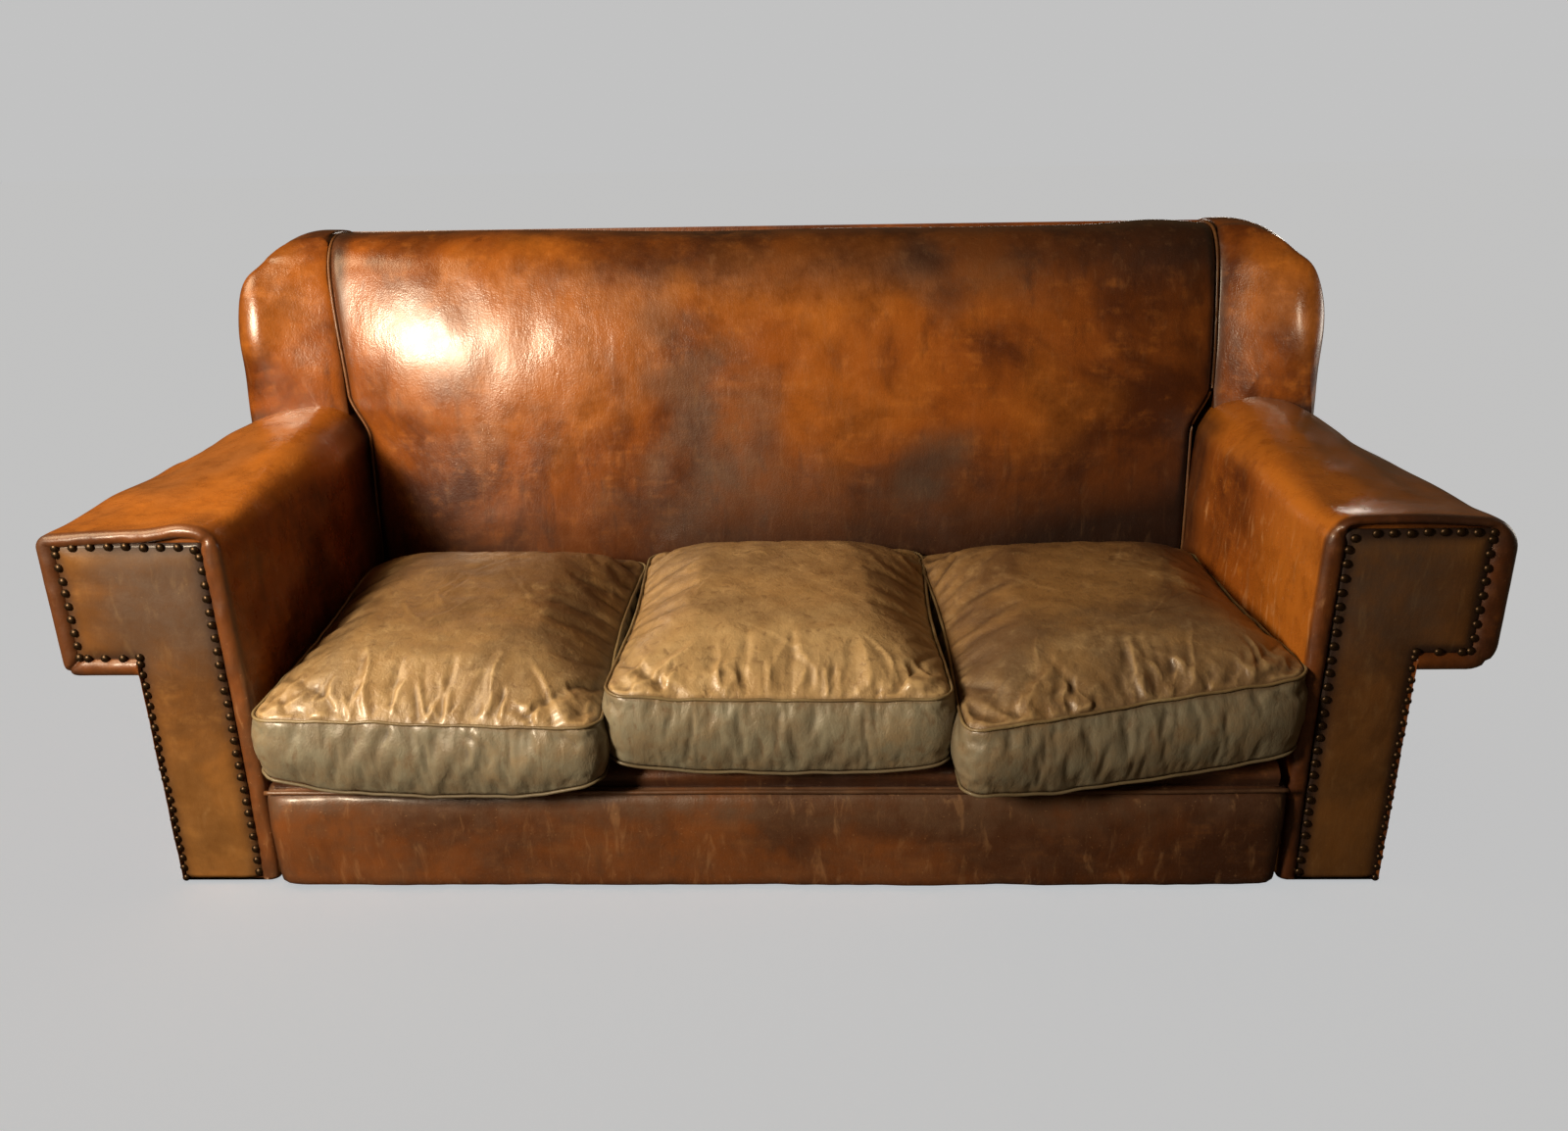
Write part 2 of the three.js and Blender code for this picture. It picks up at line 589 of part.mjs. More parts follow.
function cushion(side, size, [x, y], turnDegrees) {
  const group = new THREE.Group();
  const outer = cushionForm(size, 0);
  const hollow = cushionForm(size, LEATHER);
  const [zipHalf, rear] = [size.width * 0.36, size.depth / 2];
  const zip = block([-zipHalf, rear - 40, 52], [zipHalf, rear + 20, 56]);
  group.add(
    mesh(`${side}_cushion_cover`, cut(outer, hollow, zip), finish.olive),
    mesh(`${side}_cushion_core`, cushionForm(size, LEATHER + GAP), finish.feather),
  );
  group.position.set(x, y, DECK_Z + CLEAR);
  group.rotation.z = THREE.MathUtils.degToRad(turnDegrees);
  return group;
}

const CUSHION = { depth: 592, thick: 118, crown: 80 };
const leftCushion = {
  ...CUSHION,
  width: 530,
  bend: { leftReach: 0, leftDrop: 4, rightReach: 2, rightDrop: 14 },
};
const centreCushion = {
  ...CUSHION,
  width: 522,
  bend: { leftReach: 4, leftDrop: -8, rightReach: 0, rightDrop: -2 },
};
const rightCushion = {
  ...CUSHION,
  width: 518,
  bend: { leftReach: 36, leftDrop: 10, rightReach: -32, rightDrop: -30 },
};

const sofa = new THREE.Group();
sofa.add(
  arm("left", -1),
  arm("right", 1),
  wing("left", -1),
  wing("right", 1),
  back(),
  seat(),
  glide("front_left_glide", -FOOT.x, FOOT.front),
  glide("front_right_glide", FOOT.x, FOOT.front),
  glide("rear_left_glide", -FOOT.x, FOOT.rear),
  glide("rear_right_glide", FOOT.x, FOOT.rear),
  cushion("left", leftCushion, [-525, 216], 0),
  cushion("centre", centreCushion, [15, 249], 0),
  cushion("right", rightCushion, [540, 232], 1.8),
);

const bounds = new THREE.Box3().setFromObject(sofa, true);
sofa.position.y = -(bounds.min.y + bounds.max.y) / 2;

export default sofa;
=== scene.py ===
import json
import math

import bpy
import numpy as np
from mathutils import Matrix, Vector

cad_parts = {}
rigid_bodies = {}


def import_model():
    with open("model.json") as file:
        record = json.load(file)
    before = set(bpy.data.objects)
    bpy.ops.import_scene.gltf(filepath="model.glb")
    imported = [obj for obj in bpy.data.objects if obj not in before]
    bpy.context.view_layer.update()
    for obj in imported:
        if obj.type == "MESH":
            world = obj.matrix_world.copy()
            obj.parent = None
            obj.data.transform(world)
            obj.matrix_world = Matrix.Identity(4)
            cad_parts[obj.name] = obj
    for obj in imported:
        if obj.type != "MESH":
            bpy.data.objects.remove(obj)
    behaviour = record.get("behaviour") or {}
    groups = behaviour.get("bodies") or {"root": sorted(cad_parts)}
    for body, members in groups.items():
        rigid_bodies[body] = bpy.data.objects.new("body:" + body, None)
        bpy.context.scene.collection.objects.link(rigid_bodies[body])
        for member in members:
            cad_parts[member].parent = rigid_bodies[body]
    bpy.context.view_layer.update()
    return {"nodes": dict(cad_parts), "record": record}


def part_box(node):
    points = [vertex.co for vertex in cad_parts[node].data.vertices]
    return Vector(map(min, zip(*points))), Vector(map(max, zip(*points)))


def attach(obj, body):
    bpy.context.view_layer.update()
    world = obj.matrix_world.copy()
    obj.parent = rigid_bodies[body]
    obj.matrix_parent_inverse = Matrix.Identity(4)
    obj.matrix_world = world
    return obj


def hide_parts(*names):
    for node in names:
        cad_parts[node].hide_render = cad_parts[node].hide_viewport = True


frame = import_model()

# ---- camera ----
# It stands just right of the middle, 1.7 m in front of the arms and 1.2 m up, and looks down by 20 degrees
# through a wide lens. Depths on the sofa are measured from ARM_FRONT, a plane 1 mm ahead of the arm facings.

ARM_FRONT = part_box("left_arm_facing")[0].y - 0.001
heading, dip, roll = (math.radians(v) for v in (-1.58, 19.87, -0.93))
ahead = Vector((math.sin(heading) * math.cos(dip), math.cos(heading) * math.cos(dip), -math.sin(dip)))
level = Vector((math.cos(heading), -math.sin(heading), 0))
above = level.cross(ahead)
right = level * math.cos(roll) + above * math.sin(roll)
up = above * math.cos(roll) - level * math.sin(roll)
camera = bpy.data.objects.new("camera", bpy.data.cameras.new("camera"))
camera.data.sensor_width = 36
camera.data.lens = 27.44
camera.data.clip_end = 100
camera.matrix_world = Matrix((right, up, -ahead)).transposed().to_4x4()
camera.location = (0.072, ARM_FRONT - 1.673, 1.155)
bpy.context.scene.collection.objects.link(camera)
bpy.context.scene.camera = camera

# ---- studio: floor, room light and lamps ----
# A pale grey paper floor in a pale room with warm, weak light. A small window-like softbox in front on the left
# is the main lamp, and a broad one hangs above the left arm. Two more light the rear and the right side, and a
# narrow strip lights the right wing alone.

BACKDROP = 0.54  # how bright the paper and the room look, as a linear value
ROOM_LIGHT = 0.07  # how much light the room gives
PAPER_SHARE = 0.315  # how much of the room's light the paper shows by itself
PAPER_GLOW = BACKDROP - PAPER_SHARE * ROOM_LIGHT
PAPER_REACH = 40


def linear(code, alpha=1.0):
    """An sRGB hex colour as linear values."""
    values = [int(code[i : i + 2], 16) / 255 for i in (1, 3, 5)]
    return (*(v / 12.92 if v <= 0.04045 else ((v + 0.055) / 1.055) ** 2.4 for v in values), alpha)


def node(tree, kind, inputs=None, **settings):
    """Adds a node, with its settings, and fills or links its inputs by name or number."""
    made = tree.nodes.new(kind)
    for key, value in settings.items():
        setattr(made, key, value)
    for key, value in (inputs or {}).items():
        socket = made.inputs[key]
        if isinstance(value, bpy.types.NodeSocket):
            tree.links.new(value, socket)
        else:
            socket.default_value = value
    return made


def material(name):
    """A new material with an empty tree, its shader and its output."""
    made = bpy.data.materials.new(name)
    made.use_nodes = True
    tree = made.node_tree
    tree.nodes.clear()
    shader = node(tree, "ShaderNodeBsdfPrincipled")
    node(tree, "ShaderNodeOutputMaterial", {"Surface": shader.outputs[0]})
    return made, tree, shader


def plain_mesh(name, points, faces, smooth=True):
    """A mesh object from points and faces, in the scene."""
    data = bpy.data.meshes.new(name)
    data.from_pydata([tuple(p) for p in points], [], [tuple(f) for f in faces])
    data.validate()
    data.polygons.foreach_set("use_smooth", [smooth] * len(data.polygons))
    made = bpy.data.objects.new(name, data)
    bpy.context.scene.collection.objects.link(made)
    return made


def seen_directly(tree):
    """1 for a ray straight from the camera, so that the backdrop looks even without lighting the room."""
    return node(tree, "ShaderNodeLightPath").outputs["Is Camera Ray"]


seamless_paper, paper_tree, paper_shader = material("seamless_paper")
paper_shader.inputs["Base Color"].default_value = linear("#e0e0e0")
paper_shader.inputs["Roughness"].default_value = 0.95
paper_shader.inputs["Specular IOR Level"].default_value = 0.0
paper_shader.inputs["Emission Color"].default_value = linear("#f8fcff")  # makes up for the warm room light
paper_seen = {0: seen_directly(paper_tree), 1: PAPER_GLOW}
paper_glow = node(paper_tree, "ShaderNodeMath", paper_seen, operation="MULTIPLY")
paper_tree.links.new(paper_glow.outputs[0], paper_shader.inputs["Emission Strength"])
paper_corners = [(x * PAPER_REACH, y * PAPER_REACH, 0) for x, y in ((-1, -1), (1, -1), (1, 1), (-1, 1))]
studio_floor = plain_mesh("studio_floor", paper_corners, [(0, 1, 2, 3)])
studio_floor.data.materials.append(seamless_paper)

room = bpy.data.worlds.new("room")
room.use_nodes = True
room_tree = room.node_tree
seen = seen_directly(room_tree)
room_tones = {"Factor": seen, 6: linear("#ffcf94"), 7: linear("#ffffff")}
room_tone = node(room_tree, "ShaderNodeMix", room_tones, data_type="RGBA")
room_levels = {"Value": seen, "To Min": ROOM_LIGHT, "To Max": BACKDROP}
room_strength = node(room_tree, "ShaderNodeMapRange", room_levels)
room_tree.links.new(room_tone.outputs[2], room_tree.nodes["Background"].inputs["Color"])
room_tree.links.new(room_strength.outputs[0], room_tree.nodes["Background"].inputs["Strength"])
bpy.context.scene.world = room
bpy.context.scene.view_settings.view_transform = "Standard"

studio = bpy.data.collections.new("lit_by_lamps")
wing_studio = bpy.data.collections.new("lit_by_wing_strip")


def softbox(name, place, target, size, watts, tint, lit=studio):
    """A rectangular lamp that faces its target and lights one collection."""
    lamp = bpy.data.lights.new(name, "AREA")
    lamp.shape = "RECTANGLE"
    lamp.size, lamp.size_y = size
    lamp.energy = watts
    lamp.color = linear(tint)[:3]
    made = bpy.data.objects.new(name, lamp)
    made.location = place
    made.rotation_euler = (Vector(target) - Vector(place)).to_track_quat("-Z", "Y").to_euler()
    bpy.context.scene.collection.objects.link(made)
    made.light_linking.receiver_collection = lit


softbox("window", (-1.72, -2.0, 1.52), (-0.3, 0.1, 0.6), (0.36, 0.56), 88, "#ffe9ca")
softbox("top_softbox", (-1.9, -0.5, 2.0), (-0.7, 0.0, 0.5), (1.0, 1.0), 30, "#ffe0b4")
softbox("rear_softbox", (1.2, 3.4, 0.7), (0, 0.3, 0.5), (2.4, 0.7), 48, "#fff4e6")
softbox("right_side_softbox", (3.6, 0.9, 0.8), (0.9, 0.2, 0.5), (1.2, 0.8), 18, "#fff4e6")
softbox("wing_strip", (1.32, -2.04, 1.27), (1.0, 0.29, 0.87), (0.05, 0.46), 20, "#ffe9ca", wing_studio)

# ---- frame, springs, webbing and stuffing inside ----
# The beech frame, jute webbing, steel spring units and stuffing are closed in by the covers. The black cambric
# under the seat and the steel glides are the only ones that can be seen, from below.


def fibres(name, light, dark, across, roughness=0.9):
    """Beech, jute or wadding: two tones in fine bands or clumps, so many per metre along X, Y and Z."""
    made, tree, shader = material(name)
    place = node(tree, "ShaderNodeTexCoord")
    spread = node(tree, "ShaderNodeMapping", {"Vector": place.outputs["Object"], "Scale": across})
    bands = {"Vector": spread.outputs[0], "Scale": 1.0, "Detail": 5.0}
    pattern = node(tree, "ShaderNodeTexNoise", bands).outputs["Fac"]
    tones = {"Factor": pattern, 6: linear(light), 7: linear(dark)}
    tone = node(tree, "ShaderNodeMix", tones, data_type="RGBA")
    relief = node(tree, "ShaderNodeBump", {"Height": pattern, "Strength": 0.3, "Distance": 0.001})
    tree.links.new(tone.outputs[2], shader.inputs["Base Color"])
    tree.links.new(relief.outputs[0], shader.inputs["Normal"])
    shader.inputs["Roughness"].default_value = roughness
    return made


def patchy_metal(name, scale, detail, glossiest, dullest, metallic):
    """Metal that is glossier in some patches than in others, with its scale in patches a metre."""
    made, tree, shader = material(name)
    place = node(tree, "ShaderNodeTexCoord").outputs["Object"]
    patches = {"Vector": place, "Scale": scale, "Detail": detail}
    pattern = node(tree, "ShaderNodeTexNoise", patches).outputs["Fac"]
    rough = node(tree, "ShaderNodeMapRange", {"Value": pattern, "To Min": glossiest, "To Max": dullest})
    tree.links.new(rough.outputs[0], shader.inputs["Roughness"])
    shader.inputs["Metallic"].default_value = metallic
    return made, tree, shader, pattern


inner_finishes = {
    "beech": fibres("planed_beech", "#d3ad78", "#b98d56", (8, 260, 260), 0.7),  # grain lines about 4 mm apart
    "fibre_stuffing": fibres("matted_fibre", "#d5cbb0", "#a89a78", (90, 90, 90)),  # clumps about 11 mm across
    "feather_fill": fibres("feather_proof_cambric", "#e4dfd2", "#cfc8b6", (700, 700, 700)),  # 1.5 mm weave
    "jute": fibres("woven_jute", "#b8935f", "#8d6c3e", (500, 500, 500)),  # 2 mm yarns
    "black_cambric": fibres("black_bottom_cambric", "#2f2d2b", "#201f1e", (600, 600, 600)),
}

# bare wire and plate, slightly dulled
drawn_steel, _, steel_shader, _ = patchy_metal("drawn_spring_steel", 300.0, 2.0, 0.3, 0.5, 1.0)
steel_shader.inputs["Base Color"].default_value = linear("#9a9ca0")
inner_finishes["spring_steel"] = drawn_steel

for part in frame["record"]["subparts"]:
    finish = inner_finishes.get(part["material_slot"])
    if finish:
        cad_node = frame["nodes"][part["node"]]
        cad_node.data.materials.clear()
        cad_node.data.materials.append(finish)

# ---- body leather ----
# Waxed cowhide, dyed cognac and hand coloured, rubbed glossy by decades of use. It is mottled with darker brown
# clouds, greyed where wax and dirt have sunk in, dark in every crease and pale where the surface is scuffed.


def leather(name, tones, roughness, coat, grain=0.12, blotch=3.4, wrinkle=0.22):
    """Worn leather in five tones: main, deep, bright, greyed and scuffed.

    The piece's four point attributes, from paint(), say where it is greyed, where it is darkened by dirt and by
    painted shade, where it is paler from rubbing and from painted highlights, and where it is scuffed, in
    places with a painted highlight.
    """
    main, deep, bright, greyed, scuffed = (linear(tone) for tone in tones)
    made, tree, shader = material(name)
    place = node(tree, "ShaderNodeTexCoord").outputs["Object"]

    def noise(scale, detail=5.0, rough=0.55, stretch=(1, 1, 1), distortion=0.0):
        spread = node(tree, "ShaderNodeMapping", {"Vector": place, "Scale": stretch}).outputs[0]
        shape = {"Scale": scale, "Detail": detail, "Roughness": rough, "Distortion": distortion}
        return node(tree, "ShaderNodeTexNoise", {"Vector": spread, **shape}).outputs["Fac"]

    def steepen(value, low, high, to_low=0.0, to_high=1.0):
        ranged = {"Value": value, "From Min": low, "From Max": high, "To Min": to_low, "To Max": to_high}
        return node(tree, "ShaderNodeMapRange", ranged, interpolation_type="SMOOTHSTEP").outputs[0]

    def painted(key):
        return node(tree, "ShaderNodeAttribute", attribute_name=key).outputs["Fac"]

    def times(a, b):
        return node(tree, "ShaderNodeMath", {0: a, 1: b}, operation="MULTIPLY").outputs[0]

    def plus(a, b):
        return node(tree, "ShaderNodeMath", {0: a, 1: b}, operation="ADD").outputs[0]

    def bump(height, strength, distance, **under):
        return node(
            tree, "ShaderNodeBump", {"Height": height, "Strength": strength, "Distance": distance, **under}
        ).outputs[0]

    def blend(factor, a, b):
        return node(tree, "ShaderNodeMix", {"Factor": factor, 6: a, 7: b}, data_type="RGBA").outputs[2]

    clouds = noise(blotch, 6.0, 0.62, distortion=0.5)
    mottle = noise(26.0, 6.0, 0.65)
    streaks = noise(1.0, 5.0, 0.6, stretch=(5, 5, 46))
    falls = noise(1.0, 5.0, 0.6, stretch=(34, 34, 5))
    colour = blend(steepen(clouds, 0.38, 0.62), main, deep)
    smaller_clouds = noise(blotch * 2.6, 5.0, 0.6, stretch=(1, 1, 0.55))
    colour = blend(steepen(smaller_clouds, 0.5, 0.75, 0.0, 0.5), colour, deep)
    level_wear = plus(times(mottle, 0.65), times(streaks, 0.35))
    colour = blend(steepen(level_wear, 0.5, 0.72, 0.0, 0.6), colour, bright)
    upright_wear = plus(times(mottle, 0.4), times(falls, 0.6))
    colour = blend(steepen(upright_wear, 0.52, 0.66, 0.0, 0.6), colour, deep)
    # paler where rubbed, and where a highlight is painted into the colour
    colour = blend(times(painted("rub"), steepen(mottle, 0.25, 0.6, 0.5, 1.0)), colour, bright)
    colour = blend(times(painted("grey"), steepen(mottle, 0.3, 0.7, 0.55, 1.0)), colour, greyed)
    creases = noise(1.0, 6.0, 0.62, stretch=(60, 60, 24), distortion=0.4)
    colour = blend(steepen(creases, 0.46, 0.30, 0.0, 1.6 * wrinkle - 0.35), colour, deep)
    # near-black brown where dirty, and where shade is painted into the colour
    colour = blend(painted("dirt"), colour, linear("#241006"))
    rubbed = steepen(noise(1.0, 4.0, 0.6, stretch=(55, 55, 14), distortion=0.6), 0.55, 0.75)
    specks = steepen(noise(210.0, 2.0, 0.5), 0.68, 0.76)
    # pale scuffs, some of them painted highlights
    scuffs = times(painted("scuff"), plus(times(rubbed, 0.45), times(specks, 0.5)))
    colour = blend(scuffs, colour, scuffed)
    tree.links.new(colour, shader.inputs["Base Color"])

    dulling = plus(times(mottle, 0.6), times(clouds, 0.4))
    rough = steepen(dulling, 0.35, 0.7, roughness - 0.07, roughness + 0.1)
    rough = plus(rough, times(painted("dirt"), 0.3))
    rough = plus(rough, times(painted("grey"), 0.1))
    tree.links.new(plus(rough, times(scuffs, 0.25)), shader.inputs["Roughness"])
    shader.inputs["Coat Weight"].default_value = coat
    shader.inputs["Coat Roughness"].default_value = 0.22
    shader.inputs["IOR"].default_value = 1.5

    # real pores are about 1 mm apart, which is too fine to see from here, so the grain is drawn at 3.5 mm
    cells = node(tree, "ShaderNodeTexVoronoi", {"Vector": place, "Scale": 290.0}, feature="F1")
    pores = cells.outputs["Distance"]
    relief = bump(pores, grain, 0.0015, Normal=bump(creases, wrinkle, 0.004))
    tree.links.new(relief, shader.inputs["Normal"])
    return made


body_tones = ("#92501a", "#4c230a", "#ba7026", "#644a37", "#cfa070")
body_leather = leather("waxed_cognac_cowhide", body_tones, 0.3, 0.35)


def ripple(points, length, seed):
    """Smooth irregular waves of about the given length, from -1 to 1, over an array of points."""
    draw = np.random.default_rng(seed)
    ways = draw.normal(size=(16, 3))
    ways /= np.linalg.norm(ways, axis=1)[:, None]
    ways *= 2 * math.pi / length * draw.uniform(0.7, 1.5, (16, 1))
    return np.sin(points @ ways.T + draw.uniform(0, 2 * math.pi, 16)).sum(-1) / 4.0


def smooth(value):
    """A soft step from 0 at 0 to 1 at 1."""
    value = np.clip(value, 0, 1)
    return value * value * (3 - 2 * value)


def net(name, grid, loop=False, ends=False):
    """A skin over a grid of points. loop joins its last column to its first, ends closes both end rows."""
    rows, columns = grid.shape[:2]
    points = grid.reshape(-1, 3)
    faces = []
    for r in range(rows - 1):
        for c in range(columns - (0 if loop else 1)):
            d = (c + 1) % columns
            faces.append((r * columns + c, r * columns + d, (r + 1) * columns + d, (r + 1) * columns + c))
    if ends:
        for r in (0, rows - 1):
            points = np.vstack([points, grid[r].mean(0)])
            for c in range(columns):
                d = (c + 1) % columns
                tri = (r * columns + c, r * columns + d, len(points) - 1)
                faces.append(tri if r else tri[::-1])
    return plain_mesh(name, points, faces)


def outward(piece):
    """Turns a closed piece's faces to point out."""
    bpy.context.view_layer.objects.active = piece
    bpy.ops.object.select_all(action="DESELECT")
    piece.select_set(True)
    bpy.ops.object.mode_set(mode="EDIT")
    bpy.ops.mesh.select_all(action="SELECT")
    bpy.ops.mesh.remove_doubles(threshold=1e-6)
    bpy.ops.mesh.normals_make_consistent(inside=False)
    bpy.ops.object.mode_set(mode="OBJECT")


def places(piece):
    """The piece's points as an array."""
    flat = np.empty(len(piece.data.vertices) * 3)
    piece.data.vertices.foreach_get("co", flat)
    return flat.reshape(-1, 3)


def paint(piece, **fields):
    """Stores named point attributes, from 0 to 1."""
    for key in ("grey", "dirt", "rub", "scuff"):
        layer = piece.data.attributes.new(key, "FLOAT", "POINT")
        value = np.broadcast_to(fields.get(key, 0.0), len(piece.data.vertices))
        layer.data.foreach_set("value", np.clip(value, 0, 1).astype(float))


def spots(points, *marks):
    """Soft irregular patches. Each mark is a centre, its radii along X, Y and Z, and a strength."""
    total = np.zeros(len(points))
    for i, (centre, radii, strength) in enumerate(marks):
        away = np.linalg.norm((points - centre) / radii, axis=1) + 0.25 * ripple(points, 0.12, 40 + i)
        total += strength * smooth(1.35 - away)
    return total


def subdivided(piece, levels):
    """Applies a subdivision surface."""
    bpy.context.view_layer.objects.active = piece
    finer = piece.modifiers.new("finer", "SUBSURF")
    finer.levels = finer.render_levels = levels
    bpy.ops.object.modifier_apply(modifier="finer")


def dress(piece, finish, slot, *nodes):
    """Gives a piece its material and its body, and puts it in the place of CAD nodes; its slot is not used."""
    piece.data.materials.clear()
    piece.data.materials.append(finish)
    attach(piece, "root")
    if nodes:
        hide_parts(*nodes)


def tube(name, route, radius, sides=10, closed=False):
    """A round cord along a route, joined up where it is closed and capped where it isn't."""
    route = np.asarray(route, float)
    along = (np.roll(route, -1, 0) - np.roll(route, 1, 0)) if closed else np.gradient(route, axis=0)
    along /= np.linalg.norm(along, axis=1)[:, None]
    side = np.cross(along, (0, 0, 1.0))
    upright = np.linalg.norm(side, axis=1) < 0.2
    side[upright] = np.cross(along[upright], (1.0, 0, 0))
    side /= np.linalg.norm(side, axis=1)[:, None]
    over = np.cross(side, along)
    angle = np.linspace(0, 2 * math.pi, sides, endpoint=False)[:, None]
    rings = route[:, None] + radius * (np.cos(angle) * side[:, None] + np.sin(angle) * over[:, None])
    if closed:
        rings = np.concatenate([rings, rings[:1]])
    made = net(name, rings, loop=True, ends=not closed)
    outward(made)
    return made


# ---- front rail ----
# A padded border of body leather over the front seat rail, with rounded ends and a piped top edge. It is greyed
# below the piping, scuffed, and darker to the right, where shade is painted into its colour.

rail_low, rail_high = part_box("front_rail_cover")
RAIL_SECTION = np.array(  # how far forward and how high it runs, as shares of its depth and height
    [
        (0.0, 0.0),
        (0.70, 0.0),
        (0.78, 0.015),
        (0.82, 0.06),
        (0.87, 0.18),
        (0.97, 0.45),
        (1.0, 0.62),
        (0.98, 0.8),
        (0.86, 0.92),
        (0.6, 0.98),
        (0.2, 1.0),
    ]
)


def build_rail():
    """A padded band with a rounded foot, a fuller middle, a rolled top and rounded ends."""
    half, front, back = rail_high.x, rail_low.y, rail_high.y
    across = half * np.concatenate([[-1, -0.999, -0.996], np.linspace(-0.992, 0.992, 150), [0.996, 0.999, 1]])
    rise = np.linspace(0, 1, 30)
    knots = np.linspace(0, 1, len(RAIL_SECTION))
    forward, s = (np.interp(rise, knots, RAIL_SECTION[:, k]) for k in (0, 1))
    x = np.broadcast_to(across[:, None], (len(across), len(rise)))
    ends = np.sqrt(np.clip(1 - (np.abs(x) / half) ** 60, 0, 1))
    depth = (back - front) * forward * (0.25 + 0.75 * ends)
    z = rail_low.z + (rail_high.z - rail_low.z) * (s * (1 - 0.10 * (1 - ends)) + 0.05 * (1 - ends))
    face = np.stack([x, back - depth, z], -1)
    dents = 0.0022 * ripple(face, 0.22, 3) + 0.0008 * ripple(face, 0.05, 4)
    face[..., 1] -= dents * forward
    rear = face[:, ::-1].copy()
    rear[..., 1] = back
    made = net("front_rail_border", np.concatenate([face, rear], 1), loop=True, ends=True)
    outward(made)
    return made


front_rail = build_rail()
p = places(front_rail)
low_edge = smooth((0.02 - (p[:, 2] - rail_low.z)) / 0.02)
end_dirt = smooth((np.abs(p[:, 0]) - 0.79) / 0.02)
# darker at its foot and at its ends; less grey and darker towards the right, which is painted shade
paint(
    front_rail,
    grey=(0.62 + 0.38 * smooth((p[:, 2] - 0.118) / 0.05)) * (1 - 0.45 * smooth((p[:, 0] - 0.3) / 0.4))
    + spots(p, ((0.35, rail_low.y, 0.15), (0.4, 0.2, 0.04), 0.4)),
    dirt=0.12 + 0.5 * low_edge + 0.6 * end_dirt + 0.38 * smooth((p[:, 0] - 0.2) / 0.6),
    scuff=0.4,
)
dress(front_rail, body_leather, "leather_body", "front_rail_cover", "front_rail_stuffing")

piping_tones = ("#7d4a22", "#4a2c16", "#a97a48", "#6d5440", "#c8a878")
piping_leather = leather("piping_cowhide", piping_tones, 0.36, 0.2, 0.05)
RAIL_PIPING_RADIUS = 0.0036
x = np.linspace(-rail_high.x + 0.006, rail_high.x - 0.006, 200)
line = np.stack([x, np.full_like(x, rail_low.y + 0.009), np.full_like(x, rail_high.z - 0.003)], 1)
line[:, 2] += 0.0012 * ripple(line, 0.3, 8)
rail_piping = tube("front_rail_piping", line, RAIL_PIPING_RADIUS)
# the piping is painted darker over its right half, as painted shade
paint(rail_piping, dirt=0.25 + 0.3 * smooth(places(rail_piping)[:, 0]), grey=0.5)
dress(rail_piping, piping_leather, "leather_body")

# ---- seat platform ----
# The sprung platform under the cushions, with a rolled lip of body leather that shows between the cushions and
# the rail.

deck_low, deck_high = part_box("seat_platform_cover")
lip_section = np.array(  # metres behind the front, and the share of the height
    [
        (0.003, 0.0),
        (-0.001, 0.3),
        (0.0, 0.55),
        (0.012, 0.86),
        (0.035, 0.98),
        (0.075, 1.0),
        (0.2, 1.0),
        (0.4, 1.0),
        (0.65, 1.0),
    ]
)
lip_section[:, 1] = deck_low.z - 0.006 + lip_section[:, 1] * (deck_high.z - deck_low.z + 0.005)
x = np.linspace(deck_low.x, deck_high.x, 120)
lip = [np.stack([x, np.full_like(x, deck_low.y + y), np.full_like(x, z)], 1) for y, z in lip_section]
lip = np.array(lip)
lip[..., 2] += 0.0015 * ripple(lip, 0.18, 5) * (lip[..., 1] < deck_low.y + 0.05)
under = lip[::-1].copy()
under[..., 2] = np.minimum(under[..., 2] - 0.004, deck_low.z - 0.006)
platform = net("seat_platform_leather", np.concatenate([lip, under, lip[:1]]))
outward(platform)
p = places(platform)
paint(platform, grey=0.3, dirt=0.35 + 0.5 * smooth((deck_high.z - 0.012 - p[:, 2]) / 0.02), scuff=0.2)
dress(platform, body_leather, "leather_body", "seat_platform_cover", "seat_platform_stuffing")

# ---- arms ----
# Square arms with an overhang: body leather over fibre, drawn over the inside, the top, the overhang and the
# outside, and finished at the front as a padded roll with mitred corners. The top rises towards the back. The
# nailed facing is a separate smooth panel in the shape of an upside down L.

arm_low, arm_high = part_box("right_arm_cover")
ARM_OUTER = arm_high.x
ARM_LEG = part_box("right_outside_arm_cover")[1].x
ARM_UNDER = arm_low.z + 0.368
ARM_LENGTH = arm_high.y - ARM_FRONT
ARM_TOP = 0.610
ARM_INNER = 0.820
BASE = arm_low.z
ROLL = 0.030  # the front roll's width beside the facing's inner edge and under its overhang
ROLL_TOP = {-1: 0.021, 1: 0.013}  # its width over the facing, on the left arm (-1) and on the right arm (1)
ROLL_OUTER = {-1: 0.029, 1: 0.040}  # its width down the facing's outer edge
ARM_ROUND = {-1: 0.022, 1: 0.042}  # how the two outer edges are rounded
LEAST_ROUND = 0.0015
ARM_RISE = 0.058  # how much the top climbs from its front, over 0.6 m
REAR_DEPTH = 0.775
REAR_LEAN = 0.0724
SIDES = (("left", -1), ("right", 1))


def panel_plane(z):
    """Y of the rear of the sofa at a height, which leans back as it rises."""
    return ARM_FRONT + REAR_DEPTH + REAR_LEAN * z


